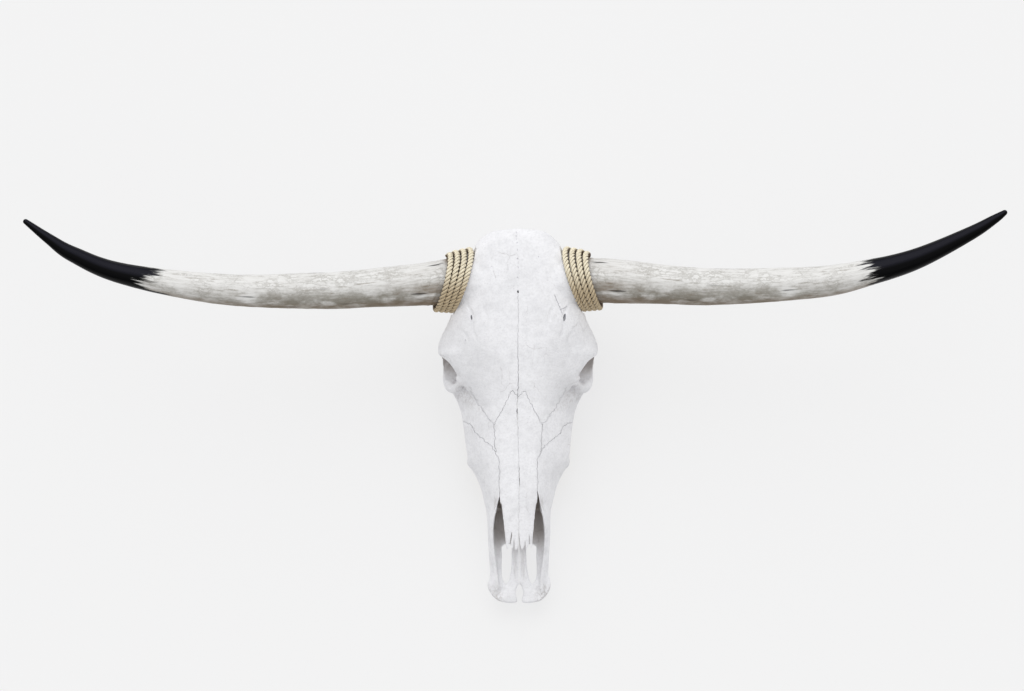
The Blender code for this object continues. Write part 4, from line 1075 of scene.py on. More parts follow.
class HornLine:
    """The line of one horn outwards from its joint, read off by distance."""

    def __init__(self, line, root):
        rows = curve_through(line, 24)
        rows = [row for row in rows if (Vector(row[:3]) - root.centre).dot(root.axis) >= 0]
        points = [Vector(row[:3]) for row in rows]
        self.gone = [gone for gone, _ in frames_along(points)]
        self.directions = [along for _, along in frames_along(points)]
        self.points = points
        self.radii = [row[3] for row in rows]
        self.length = self.gone[-1]

    def at(self, distance):
        """Point, direction and radius at this distance from the joint."""
        i = int(np.clip(np.searchsorted(self.gone, distance) - 1, 0, len(self.gone) - 2))
        t = (distance - self.gone[i]) / (self.gone[i + 1] - self.gone[i])
        return (self.points[i].lerp(self.points[i + 1], t),
                self.directions[i].lerp(self.directions[i + 1], t).normalized(),
                self.radii[i] + (self.radii[i + 1] - self.radii[i]) * t)


def horn_relief(angle, gone, end, seed):
    """Height of the horn's surface in units of the ridge height: dents, lengthwise ridges, growth rings near
    the root and flakes. They fade towards the polished tip, and close to the joint under the rope."""
    around = Vector((math.cos(angle), math.sin(angle), 0))
    away = Vector((0, 0, seed * 7.0))
    polish = 1 - 0.9 * min(1, max(0, (gone / end - 0.62) / 0.2))
    root = max(0.0, 1 - gone / 0.22)
    dents = noise.noise(around * 1.3 + Vector((0, 0, gone * 14)) + away) * 2.2
    ridges = noise.fractal(around * 4.5 + Vector((0, 0, gone * 7)) + away, 0.9, 2.0, 4) * 1.3
    rings = noise.noise(around * 0.5 + Vector((0, 0, gone * 75)) + away) * 0.8 * root
    flakes = max(0.0, noise.fractal(around * 7 + Vector((0, 0, gone * 60)) + away, 0.8, 2.0, 3)) * 1.1
    calm = min(1.0, max(0.15, (gone - 0.015) / 0.04))
    return (dents * (0.3 + 0.7 * polish) + (ridges + rings + flakes) * polish) * calm


def horn_sheath(name, line, root, sizes):
    """A horn, ringed at its root in the slanted plane of the joint. Its corners also carry where they
    would lie if the horn were straight."""
    path = HornLine(line, root)
    cap = path.at(path.length)[2]
    count = int((path.length - cap) / sizes.step)
    stops = [HORN_GAP + (path.length - cap - HORN_GAP) * i / count for i in range(count + 1)]
    stops += [path.length - cap * (1 - math.sin(math.pi / 2 * i / CAP_RINGS)) for i in range(1, CAP_RINGS)]
    rings, straight = [], []
    for gone in stops:
        point, along, radius = path.at(gone)
        rounding = max(0.0, (gone - (path.length - cap)) / cap)
        radius *= math.sqrt(max(0.0, 1 - rounding ** 2))
        up = (Vector((0, 0, 1)) - along * along.z).normalized()
        front = along.cross(up)
        slant = max(0.0, 1 - max(0.0, gone - SLANT_KEPT) / SLANT_LOST)
        ring = []
        for angle in circle(sizes.sides):
            out = up * math.sin(angle) + front * math.cos(angle)
            full = radius + sizes.ridge * horn_relief(angle, gone, path.length, root.side)
            reach = full if radius > RIDGED_RADIUS else radius
            slide = -slant * reach * out.dot(root.plane) / along.dot(root.plane)
            found = point + out * reach + along * slide
            ring.append((found.x * root.side, found.y, found.z))
            straight.append((STRAIGHT_RADIUS * math.cos(angle), STRAIGHT_RADIUS * math.sin(angle),
                             gone + slide))
        rings.append(ring)
    made = loft(name, rings)
    write_vectors(made, "straight", straight)
    return made


def tip_start(piece, start, lean, upper_line, lower_line):
    """Where the black tip begins for each corner, in metres from the joint. It leans, and a thin dark line
    runs on towards the root along the horn's poll side or its nose side."""
    straight = np.zeros(len(piece.data.vertices) * 3, dtype=np.float32)
    piece.data.attributes["straight"].data.foreach_get("vector", straight)
    front = straight.reshape(-1, 3)[:, 0] / STRAIGHT_RADIUS
    return (start + lean * front - upper_line * soft_step(-front, 0.93, 0.99)
            - lower_line * soft_step(front, 0.93, 0.99))


# ---- ropes ------------------------------------------------------------------------------------------

def rope_line(root, radius, step):
    """The middle of the rope: points on its turns, and at each the way out from the horn."""
    first, last = ROPE_HIDDEN_ANGLE, ROPE_START_ANGLE + 2 * math.pi * ROPE_TURNS
    sunk, ending, play = 0.0030, 0.6, 0.0004    # how deep and over which angle the ends tuck in, and the slack
    count = int((last - first) * (ROOT_RADIUS + 0.008) / step)
    points, outs = [], []
    for i in range(count + 1):
        angle = first + (last - first) * i / count
        along = rope_along(angle)
        plane = rope_plane(along)
        ease = min(angle - first, last - angle) / ending
        tuck = sunk * max(0.0, 1 - ease) ** 2
        loose = play * noise.noise(Vector((angle * 1.7, root.side * 4.0, 0)))
        middle = root.point(along, angle, 0, plane)
        point = root.point(along + loose, angle, root_radius(along) + ROPE_GAP + radius - tuck, plane)
        points.append(point)
        outs.append((point - middle).normalized())
    return points, outs


def laid_rope(name, root, sizes):
    """Three strands laid round the middle of the rope. The corners carry their place on the strand, how deep
    they lie between the strands or under the rope and how far they lie to the side of the nose, which set its
    painted shade."""
    points, outs = rope_line(root, sizes.radius, sizes.step)
    frames = frames_along(points)
    strands, places, depths, fronts = [], [], [], []
    for strand in range(3):
        rings = []
        for point, out, (gone, along) in zip(points, outs, frames):
            out = (out - along * out.dot(along)).normalized()
            other = along.cross(out)
            phase = 2 * math.pi * (gone / sizes.lay + strand / 3)
            swell = 1 + 0.05 * noise.noise(Vector((gone * 55, strand * 5.0, root.side)))
            near, wide = STRAND_OFFSET * sizes.radius, STRAND_RADIUS * sizes.radius * swell
            ray = out * math.cos(phase) + other * math.sin(phase)
            side = other * math.cos(phase) - out * math.sin(phase)
            centre = point + ray * near
            ring = []
            for angle in circle(STRAND_SIDES):
                corner = centre + (ray * math.cos(angle) + side * math.sin(angle) * 1.08) * wide
                ring.append(corner)
                places.append((FIBRE_RADIUS * math.cos(angle), FIBRE_RADIUS * math.sin(angle),
                               gone + strand * 2.0))
                # How deep a corner lies between the strands or under the rope, and how far towards the nose:
                # the masks of the rope's painted shade.
                offset = corner - point
                inward = 1 - (offset.length / sizes.radius - 0.55) / 0.33
                below = 1 - (offset.dot(out) / sizes.radius + 0.05) / 0.50
                depths.append(min(1, max(0, 0.8 * inward, below)))
                fronts.append((root.centre.y - corner.y) / ROOT_RADIUS)
            rings.append(ring)
        strands.append(loft(f"{name}_strand_{strand}", rings))
    made = joined(name, strands)
    write_vectors(made, "fibre", places)
    write_attribute(made, "depth", depths)
    write_attribute(made, "front", fronts)
    return made


# ---- teeth ------------------------------------------------------------------------------------------

def tooth(x, middle, half_width, half_length, rise, seed):
    """One cheek tooth: lobes with ridges on the cheek side, and a crescent pit in each worn lobe."""
    dice = random.Random(seed)
    lobes = 2 if half_length > 0.010 else 1
    outline = []
    for angle in circle(96):
        c, s = math.cos(angle), math.sin(angle)
        across = math.copysign(abs(c) ** 0.75, c)
        along = math.copysign(abs(s) ** 0.6, s)
        furrow = math.cos(math.pi * lobes * (along + (1 if lobes == 1 else 0)))
        swell = 0.10 * furrow if c > 0 else -0.13 * furrow
        if lobes == 1:
            swell = -swell * 0.6
        outline.append((across * (1 + swell * abs(c)), along))
    rings = []
    for k in range(TOOTH_RINGS):
        z = rise + (TOOTH_TOP - rise) * k / (TOOTH_RINGS - 1)
        grow = (0.93, 0.975, 0.99)[k] if k < 3 else 1.0
        lean = 0.0012 * (z - rise) / TOOTH_TOP
        rings.append([(x + half_width * grow * px - lean, middle + half_length * grow * py,
                       z + (0.0009 * (1 - px) * 0.5 + 0.0005 * abs(py) if k == 0 else 0))
                      for px, py in outline])
    made = loft("tooth", rings)
    for lobe in range(lobes):
        centre = middle + (0 if lobes == 1 else half_length * (lobe - 0.5))
        reach = half_length * (0.30 if lobes == 2 else 0.55)
        arc = [(x + half_width * (0.28 - 0.62 * math.cos(t)), centre + reach * math.sin(t),
                rise + 0.0006, dice.uniform(0.0009, 0.0012)) for t in (-1.3, -0.8, -0.3, 0.3, 0.8, 1.3)]
        carve(made, rod("pit", arc, steps=2, resolution=3))
    return made


def tooth_row(name, side):
    made = [tooth(*place, seed) for seed, place in enumerate(tooth_places())]
    row = joined(name, made)
    if side < 0:
        for vertex in row.data.vertices:
            vertex.co.x = -vertex.co.x
        row.data.flip_normals()
    return row


# ---- finishing --------------------------------------------------------------------------------------

def finish(piece, name, node, look):
    """Names, thins, places and dresses a piece, and puts it in place of its node."""
    piece.name = name
    piece.data.name = name
    triangles = sum(len(face.vertices) - 2 for face in piece.data.polygons)
    if triangles > TRIANGLE_LIMIT:
        shape(piece, "DECIMATE", ratio=TRIANGLE_LIMIT / triangles)
    piece.data.transform(piece.matrix_world)
    piece.matrix_world.identity()
    slope, start = MUZZLE_LEAN
    for vertex in piece.data.vertices:
        vertex.co.x += slope * max(0.0, start - vertex.co.y)
        vertex.co += PLACE
    choose(piece)
    bpy.ops.object.shade_smooth_by_angle(angle=SHARP_ANGLE)
    piece.data.materials.clear()
    piece.data.materials.append(look)
    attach(piece, "root")
    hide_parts(node)
    return piece


def write_attribute(piece, name, values):
    layer = piece.data.attributes.new(name, "FLOAT", "POINT")
    layer.data.foreach_set("value", np.asarray(values, dtype=np.float32))


def write_vectors(piece, name, values):
    layer = piece.data.attributes.new(name, "FLOAT_VECTOR", "POINT")
    layer.data.foreach_set("vector", np.asarray(values, dtype=np.float32).ravel())


def corners_of(piece):
    found = np.zeros(len(piece.data.vertices) * 3, dtype=np.float32)
    piece.data.vertices.foreach_get("co", found)
    return found.reshape(-1, 3)


def soft_step(values, low, high):
    t = np.clip((values - low) / (high - low), 0, 1)
    return t * t * (3 - 2 * t)


def facing_up(piece):
    """How far each corner's normal points up, from -1 to 1."""
    facing = np.zeros(len(piece.data.vertices) * 3, dtype=np.float32)
    piece.data.vertex_normals.foreach_get("vector", facing)
    return facing.reshape(-1, 3)[:, 2]


def nose_shade(place, upward):
    """Painted shade inside the nose, which deepens from the muzzle backwards."""
    stations = np.array([row[0] for row in NOSE])
    half_width, low, high = [np.interp(place[:, 1], stations, [row[i] for row in NOSE]) for i in (1, 2, 3)]
    share = np.abs(place[:, 0]) / half_width
    middle = (low + high) / 2
    ceiling = np.where(share < 0.55, high - 0.0045 * share, np.where(
        share < 0.72, high - 0.0025 - 0.041 * (share - 0.55),
        high - 0.0095 - (share - 0.72) / 0.28 * (high - 0.0095 - middle)))
    inside = ((1 - soft_step(share, 1.0, 1.12)) * soft_step(place[:, 2] - low, -0.010, -0.005)
              * (1 - soft_step(place[:, 2] - ceiling, 0.0005, 0.0030))
              * (1 - soft_step(place[:, 1], -0.030, 0.020)))
    inside *= np.where(place[:, 2] < low + 0.003, soft_step(upward, -0.4, 0.1), 1.0)
    return inside * (0.06 + 0.80 * soft_step(place[:, 1], -0.235, -0.185)
                     + 0.14 * soft_step(place[:, 1], -0.175, -0.155))


def socket_shade(place):
    """Painted shade inside the eye sockets, deeper towards the poll, under the brow."""
    offset = np.stack([np.abs(place[:, 0]), place[:, 1], place[:, 2]], axis=1) - np.array(ORBIT_CAVITY)
    turned = offset @ np.array([[math.cos(ORBIT_FACING), math.sin(ORBIT_FACING), 0],
                                [-math.sin(ORBIT_FACING), math.cos(ORBIT_FACING), 0], [0, 0, 1]]).T
    far = np.sqrt(((turned / np.array(ORBIT_CAVITY_RADII)) ** 2).sum(axis=1))
    deep = 0.10 + 0.78 * soft_step(place[:, 1], 0.036, 0.062)
    return deep * (1 - soft_step(far, 1.03, 1.12)) * (1 - soft_step(turned[:, 0], 0.026, 0.046))


def brink_shade(place, upward):
    """Painted shade on the steep brinks at the narrow tops of the nose's openings, where they do not face up.
    """
    across = np.abs(place[:, 0])
    return (soft_step(across, 0.0250, 0.0262) * (1 - soft_step(across, 0.0365, 0.0380)) * (place[:, 2] > 0.092)
            * soft_step(place[:, 1], -0.185, -0.172) * (place[:, 1] < -0.1395)
            * (1 - soft_step(upward, 0.20, 0.50)))


def channel_shade(place, upward):
    """Faint painted shade in the two channels of the palate."""
    off = np.abs(np.abs(place[:, 0]) - 0.0060)
    return (0.20 * (1 - soft_step(off, 0.0010, 0.0032)) * soft_step(place[:, 1], -0.268, -0.250)
            * (1 - soft_step(place[:, 1], -0.222, -0.210)) * (upward > 0.2) * (place[:, 2] < 0.070))


def core_shade(place, root):
    """Painted shade on one horn's bone core, under the rope."""
    offset = place * np.array([root.side, 1, 1]) - np.array(root.centre)
    along = offset @ np.array(root.axis)
    away = np.linalg.norm(offset - along[:, None] * np.array(root.axis), axis=1)
    slanted = offset @ np.array(ROPE_LEAN_INNER) / root.axis.dot(ROPE_LEAN_INNER)
    core = ROOT_RADIUS + ROOT_FLARE * np.maximum(0, ROPE_TURNS * ROPE_PITCH / 2 - along) + 0.0008
    return 0.9 * (away < core) * (slanted > -0.0160)


def painted_shade(piece):
    """How much painted shade each corner takes, from 0 to 1, where it lies sheltered: inside the nose and the
    eye sockets, on the brinks of the nose's openings, in the channels of the palate and under the ropes."""
    place, upward = corners_of(piece), facing_up(piece)
    return np.maximum.reduce([
        nose_shade(place, upward), socket_shade(place), brink_shade(place, upward),
        channel_shade(place, upward), *[core_shade(place, root) for root in ROOTS.values()]])


def muzzle_ends_and_shade(piece):
    """Where the bone is darkened: at the rough front ends of the muzzle, and with painted shade in the hollow
    before each orbit.
    """
    place = corners_of(piece)
    across = np.abs(place[:, 0])
    amount = 0.8 * (1 - soft_step(place[:, 1], -0.292, -0.262)) * soft_step(across, 0.018, 0.034)
    for (x, y), reach, strength in SHADE_PATCHES:
        near = np.hypot(across - x, place[:, 1] - y) / reach
        amount = np.maximum(amount, strength * (1 - soft_step(near, 0.25, 1.0)))
    return amount


# ---- shader helpers ---------------------------------------------------------------------------------

class Graph:
    """Short calls for building a node tree. Most of them return a socket."""

    def __init__(self, tree):
        self.tree = tree

    def node(self, kind, settings=None, **inputs):
        """A new node. Its inputs are given by name, or by number as i0, i1 and so on."""
        made = self.tree.nodes.new(kind)
        for name, value in (settings or {}).items():
            setattr(made, name, value)
        for name, value in inputs.items():
            socket = made.inputs[int(name[1:])] if name[0] == "i" and name[1:].isdigit() else made.inputs[name]
            self.feed(socket, value)
        return made

    def feed(self, socket, value):
        if isinstance(value, bpy.types.NodeSocket):
            self.tree.links.new(value, socket)
        elif value is not None:
            socket.default_value = value

    def math(self, operation, a, b=None, c=None):
        return self.node("ShaderNodeMath", {"operation": operation}, i0=a, i1=b, i2=c).outputs[0]

    def vector_math(self, operation, a, b):
        return self.node("ShaderNodeVectorMath", {"operation": operation}, i0=a, i1=b).outputs[0]

    def product(self, *values):
        made = values[0]
        for value in values[1:]:
            made = self.math("MULTIPLY", made, value)
        return made

    def ramp(self, value, low, high, start=0.0, end=1.0):
        """Goes smoothly from start to end while the value goes from low to high."""
        settings = {"interpolation_type": "SMOOTHSTEP"}
        return self.node("ShaderNodeMapRange", settings, i0=value, i1=low, i2=high, i3=start, i4=end).outputs[0]

    def fall(self, value, low, high):
        return self.ramp(value, low, high, 1.0, 0.0)

    def mix(self, factor, a, b):
        made = self.node("ShaderNodeMix", {"data_type": "RGBA"})
        for socket, value in ((made.inputs[0], factor), (made.inputs[6], a), (made.inputs[7], b)):
            self.feed(socket, (*value, 1) if isinstance(value, tuple) else value)
        return made.outputs[2]

    def tint(self, tone, colour, *masks):
        """Lays a colour over the tone, as strongly as the product of the masks."""
        return self.mix(self.product(*masks), tone, tuple(colour))

    def attribute(self, name, output="Fac"):
        return self.node("ShaderNodeAttribute", {"attribute_name": name}).outputs[output]

    def parts(self, vector):
        """The three parts of a vector or a colour."""
        return self.node("ShaderNodeSeparateXYZ", i0=vector).outputs

    def noise(self, vector, scale, detail=4, roughness=0.55):
        made = self.node("ShaderNodeTexNoise", Vector=vector, Scale=scale, Detail=detail, Roughness=roughness)
        return made.outputs[0]

    def stretched(self, vector, z, y=1.0):
        """The vector with its Z and Y scaled: below 1, a pattern is drawn out along them."""
        return self.node("ShaderNodeMapping", Vector=vector, Scale=(1.0, y, z)).outputs[0]

    def shaken(self, vector, by, reach, scale, detail=2.0):
        """The vector pushed about by a noise that is read at another vector."""
        push = self.node("ShaderNodeTexNoise", Vector=by, Scale=scale, Detail=detail).outputs["Color"]
        return self.vector_math("ADD", vector, self.vector_math("MULTIPLY", push, (reach,) * 3))


def group(name, inputs, outputs):
    """A new shader node group with named sockets. Returns its graph, its input node and its output node."""
    tree = bpy.data.node_groups.new(name, "ShaderNodeTree")
    for label, kind in inputs:
        tree.interface.new_socket(label, in_out="INPUT", socket_type=kind)
    for label, kind in outputs:
        tree.interface.new_socket(label, in_out="OUTPUT", socket_type=kind)
    graph = Graph(tree)
    return graph, graph.node("NodeGroupInput"), graph.node("NodeGroupOutput")


FLOAT, VECTOR = "NodeSocketFloat", "NodeSocketVector"


def bone_surface_group():
    """Mottling, speckle, pores and hairline cracks of dry bone."""
    labels = ("Mottling", "Speckle", "Pores", "Cracks", "Height")
    g, given, result = group("Dry bone surface", [("Vector", VECTOR)], [(label, FLOAT) for label in labels])
    place = given.outputs["Vector"]
    broad = g.ramp(g.noise(place, 24, 5, 0.62), 0.40, 0.70)
    middle = g.ramp(g.noise(place, 95, 4, 0.65), 0.42, 0.72)
    patches = g.math("MULTIPLY_ADD", middle, 0.5, g.product(broad, 0.6))
    speckle = g.ramp(g.noise(place, 330, 5, 0.75), 0.42, 0.70)
    dots = g.node("ShaderNodeTexVoronoi", Vector=g.shaken(place, place, 0.0016, 300.0), Scale=620)
    chosen = g.ramp(g.parts(dots.outputs["Color"])[0], 0.80, 1.0)
    areas = g.ramp(g.noise(place, 38, 3), 0.44, 0.62)
    pores = g.product(g.fall(dots.outputs["Distance"], 0.08, 0.28), chosen, areas)
    wandering = g.stretched(g.shaken(place, place, 0.014, 55.0, 4.0), 1.0, 0.33)
    edges = g.node("ShaderNodeTexVoronoi", {"feature": "DISTANCE_TO_EDGE"}, Vector=wandering, Scale=48.0)
    cracked = g.ramp(g.noise(place, 21, 3), 0.57, 0.66)
    cracks = g.product(g.fall(edges.outputs["Distance"], 0.003, 0.014), cracked)
    grain = g.noise(g.stretched(place, 1.0, 0.4), 850, 4, 0.7)
    height = g.math("MULTIPLY_ADD", grain, 0.30, g.product(g.noise(place, 210, 5, 0.62), 0.80))
    height = g.math("MULTIPLY_ADD", pores, -0.8, height)
    height = g.math("MULTIPLY_ADD", cracks, -0.35, height)
    for label, value in zip(labels, (patches, speckle, pores, cracks, height)):
        g.feed(result.inputs[label], value)
    return g.tree


def brow_striation_group():
    """Fine ridges that run out from the eye sockets over the brow and the cheek."""
    g, given, result = group("Brow striations", [("Vector", VECTOR)], [("Height", FLOAT)])
    x, y, _ = g.parts(given.outputs["Vector"])
    dx = g.math("SUBTRACT", g.math("ABSOLUTE", g.math("SUBTRACT", x, MIDLINE)), ORBIT_CAVITY[0] + 0.016)
    dy = g.math("SUBTRACT", y, STATION_ZERO + 0.050)
    far = g.math("SQRT", g.math("ADD", g.product(dx, dx), g.product(dy, dy)))
    angle = g.math("ARCTAN2", dy, dx)
    polar = g.node("ShaderNodeCombineXYZ", i0=g.product(angle, 9.0), i1=g.product(far, 26.0))
    lines = g.noise(polar.outputs[0], 3.2, 4, 0.7)
    near = g.product(g.ramp(far, 0.022, 0.034), g.fall(far, 0.050, 0.085))
    g.feed(result.inputs["Height"], g.product(lines, near))
    return g.tree


def new_material(name):
    made = bpy.data.materials.new(name)
    made.use_nodes = True
    graph = Graph(made.node_tree)
    return made, graph, made.node_tree.nodes["Principled BSDF"]


def dress(g, shader, tone, height, strength, distance):
    """Gives a shader its colour and its fine relief."""
    g.feed(shader.inputs["Base Color"], tone)
    bump = g.node("ShaderNodeBump", Strength=strength, Distance=distance, Height=height)
    g.feed(shader.inputs["Normal"], bump.outputs[0])


def bone_material(sizes):
    """Bleached bone, mottled and speckled, browner at the rough front ends of the muzzle, with brown painted
    shade where it lies sheltered.
    """
    look, g, shader = new_material("bleached_bone")
    place = g.node("ShaderNodeTexCoord").outputs["Object"]
    surface = g.node("ShaderNodeGroup", {"node_tree": bone_surface_group()}, Vector=place).outputs
    ridges = g.node("ShaderNodeGroup", {"node_tree": brow_striation_group()}, Vector=place).outputs["Height"]
    rough = g.ramp(g.noise(place, 240, 5, 0.7), 0.40, 0.62)
    tone = g.mix(g.product(surface["Mottling"], 0.48), tuple(sizes.bone), tuple(sizes.shade))
    tone = g.tint(tone, sizes.shade, surface["Speckle"], 0.42)
    tone = g.tint(tone, sizes.stain_and_shade, surface["Pores"], 0.50)
    tone = g.tint(tone, sizes.stain_and_shade, surface["Cracks"], 0.28)
    tone = g.tint(tone, sizes.shade, ridges, 0.50)
    # Darker at the rough front ends of the muzzle, and painted shade in the hollow before each eye socket.
    tone = g.tint(tone, sizes.stain_and_shade, g.attribute("muzzle_ends_and_shade"), rough, 0.55)
    # Painted shade inside the nose and the eye sockets, on the brinks of the nose's openings, in the channels
    # of the palate and under the ropes.
    tone = g.tint(tone, sizes.stain_and_shade, g.attribute("painted_shade"), 0.80)
    dress(g, shader, tone, g.math("MULTIPLY_ADD", ridges, 1.5, surface["Height"]), 0.7, 0.0009)
    g.feed(shader.inputs["Roughness"], g.ramp(surface["Mottling"], 0, 1, 0.52, 0.72))
    shader.inputs["Specular IOR Level"].default_value = 0.35
    return look


def horn_material(sizes):
    """Pale scaly keratin with dark lengthwise streaks, brown low down towards the nose side (partly its own
    colour, partly painted shade), and a polished black tip with a feathered edge."""
    look, g, shader = new_material("horn_keratin")
    place = g.attribute("straight", "Vector")
    side, _, gone = g.parts(place)
    broad = g.noise(g.stretched(place, 0.16), 70, 4, 0.6)
    fine = g.noise(g.stretched(place, 0.09), 430, 5, 0.7)
    patch = g.noise(g.stretched(place, 0.6), 34, 5, 0.65)
    # The nose side, away from the key light, turns greyer and browner: partly the keratin's own colour, partly
    # painted shade.
    front = g.product(g.ramp(side, -0.004, 0.028), g.ramp(gone, 0.27, 0.43, 1.0, 0.42))

    scales = g.node("ShaderNodeTexVoronoi", {"feature": "DISTANCE_TO_EDGE"}, Scale=170.0,
                    Vector=g.shaken(g.stretched(place, 0.42), place, 0.008, 210.0, 3.0))
    rims = g.product(g.fall(scales.outputs["Distance"], 0.03, 0.22), g.ramp(patch, 0.40, 0.60))
    tone = g.mix(g.product(front, g.ramp(patch, 0.28, 0.58), 0.92), tuple(sizes.cream), tuple(sizes.grey))
    tone = g.tint(tone, sizes.grey, rims, 0.34)
    tone = g.tint(tone, sizes.grey, g.ramp(fine, 0.46, 0.70), 0.38)
    flecks = g.product(g.ramp(fine, 0.56, 0.64), g.ramp(broad, 0.50, 0.64))
    tone = g.tint(tone, sizes.brown, flecks, g.math("MULTIPLY_ADD", front, 0.40, 0.52))

    cells = g.node("ShaderNodeTexVoronoi", Scale=120.0, Vector=g.shaken(
        g.stretched(place, 0.13), g.stretched(place, 0.2), 0.0012, 330.0))
    picked = g.ramp(g.parts(cells.outputs["Color"])[1], 0.74, 0.80)
    tone = g.tint(tone, sizes.slate, g.fall(cells.outputs["Distance"], 0.10, 0.26), picked, 0.88)

    rooty = g.product(g.fall(gone, 0.03, 0.15), g.ramp(broad, 0.36, 0.62))
    tone = g.tint(tone, sizes.brown, rooty, g.math("MULTIPLY_ADD", front, 0.62, 0.14))
    spots = g.ramp(g.noise(g.stretched(place, 0.3), 120, 3), 0.56, 0.70)
    tone = g.tint(tone, sizes.brown, spots, front, 0.30)
    # Painted shade: a browner band along the flank that faces the nose.
    tone = g.tint(tone, sizes.brown, g.ramp(side, 0.0235, 0.0298), 0.50)
    # Painted shade: browner close to the joint, under the rope.
    tone = g.tint(tone, sizes.brown, g.fall(gone, 0.008, 0.018), 0.80)

    edge = g.math("MULTIPLY_ADD", g.math("SUBTRACT", broad, 0.5), 0.11, gone)
    edge = g.math("MULTIPLY_ADD", g.math("SUBTRACT", fine, 0.5), 0.055, edge)
    black = g.ramp(g.math("SUBTRACT", edge, g.attribute("tip_start")), -0.007, 0.009)
    gleam = g.product(g.ramp(side, -0.027, -0.014), g.fall(side, -0.004, 0.008))
    tone = g.mix(black, tone, g.mix(gleam, tuple(sizes.tip), tuple(sizes.gleam)))
    dress(g, shader, tone, g.math("MULTIPLY_ADD", fine, 0.6, g.product(rims, -0.5)),
          g.math("MULTIPLY_ADD", black, -0.46, 0.5), 0.0006)
    g.feed(shader.inputs["Roughness"], g.math("MULTIPLY_ADD", black, -0.18, g.ramp(fine, 0.3, 0.7, 0.38, 0.50)))
    shader.inputs["Specular IOR Level"].default_value = 0.07
    return look


def rope_material(sizes):
    """Twisted fibre with painted light and shade: pale on the poll side, tan towards the nose and dark brown
    deep between the strands.
    """
    look, g, shader = new_material("laid_rope")
    place = g.attribute("fibre", "Vector")
    threads = g.noise(g.stretched(place, 0.07), 900, 4, 0.7)
    front = g.ramp(g.attribute("front"), -0.3, 1.0)
    # Painted light and shade: the fibre turns from pale to tan towards the nose side, away from the key light.
    tone = g.mix(g.product(front, 0.72), tuple(sizes.fibre), tuple(sizes.tan))
    tone = g.tint(tone, sizes.tan, g.ramp(threads, 0.44, 0.68), 0.30)
    tone = g.tint(tone, sizes.crevice_shade, g.ramp(g.noise(place, 90, 3, 0.6), 0.42, 0.7), 0.10)
    # Painted shade deep between the strands and under the rope.
    tone = g.tint(tone, sizes.crevice_shade, g.ramp(g.attribute("depth"), 0.15, 1.0))
    dress(g, shader, tone, threads, 0.8, 0.0004)
    shader.inputs["Roughness"].default_value = 0.86
    shader.inputs["Sheen Weight"].default_value = 0.25
    shader.inputs["Sheen Roughness"].default_value = 0.5
    return look


def tooth_material(sizes):
    """Enamel with brown tartar near the gum, and dentine where the crowns are worn."""
    look, g, shader = new_material("tooth_enamel")
    place = g.node("ShaderNodeTexCoord").outputs["Object"]
    high = g.parts(place)[2]
    streaks = g.noise(g.stretched(place, 0.15), 620, 3, 0.6)
    tartar = g.ramp(g.noise(place, 150, 4, 0.6), 0.35, 0.65)
    tone = g.mix(g.product(g.ramp(streaks, 0.45, 0.72), 0.5), tuple(sizes.enamel), tuple(sizes.dentine))
    tone = g.tint(tone, sizes.stain_and_shade, g.ramp(high, 0.004, 0.020), tartar, 0.7)
    tone = g.tint(tone, sizes.dentine, g.fall(high, 0.0004, 0.0022), 0.6)
    dress(g, shader, tone, streaks, 0.4, 0.0004)
    shader.inputs["Roughness"].default_value = 0.32
    return look


# ---- operators --------------------------------------------------------------------------------------

class SKULL_OT_bones(bpy.types.Operator):
    """Fuse, carve and part the bones of the skull"""
    bl_idname = "skull.bones"
    bl_label = "Bones"

    def execute(self, context):
        sizes = context.scene.skull_bone
        look = bone_material(sizes)
        bones = build_skull(sizes)
        if set(bones) != set(BONES):
            raise RuntimeError(f"the skull came apart as {sorted(bones)}")
        for name, piece in bones.items():
            write_attribute(piece, "painted_shade", painted_shade(piece))
            write_attribute(piece, "muzzle_ends_and_shade", muzzle_ends_and_shade(piece))
            finish(piece, "bone_" + name, BONES[name], look)
        return {"FINISHED"}


class SKULL_OT_teeth(bpy.types.Operator):
    """Set both rows of cheek teeth into the jaw"""
    bl_idname = "skull.teeth"
    bl_label = "Teeth"

    def execute(self, context):
        look = tooth_material(context.scene.skull_bone)
        for side_name, side in (("right", 1), ("left", -1)):
            finish(tooth_row("teeth", side), "teeth_" + side_name, "maxilla_" + side_name, look)
        return {"FINISHED"}


class SKULL_OT_horns(bpy.types.Operator):
    """Draw each horn out along its line"""
    bl_idname = "skull.horns"
    bl_label = "Horns"

    def execute(self, context):
        sizes = context.scene.skull_horn
        look = horn_material(sizes)
        for side_name, line, tip in (("right", HORN_RIGHT, TIP_RIGHT), ("left", HORN_LEFT, TIP_LEFT)):
            made = horn_sheath("horn_sheath", line, ROOTS[side_name], sizes)
            write_attribute(made, "tip_start", tip_start(made, *tip))
            finish(made, "horn_sheath_" + side_name, "horn_" + side_name, look)
        return {"FINISHED"}


class SKULL_OT_ropes(bpy.types.Operator):
    """Lay the rope round both horn roots"""
    bl_idname = "skull.ropes"
    bl_label = "Ropes"

    def execute(self, context):
        sizes = context.scene.skull_rope
        look = rope_material(sizes)
        for side_name, root in ROOTS.items():
            made = laid_rope("rope", root, sizes)
            finish(made, "twisted_rope_" + side_name, "rope_wrap_" + side_name, look)
        return {"FINISHED"}


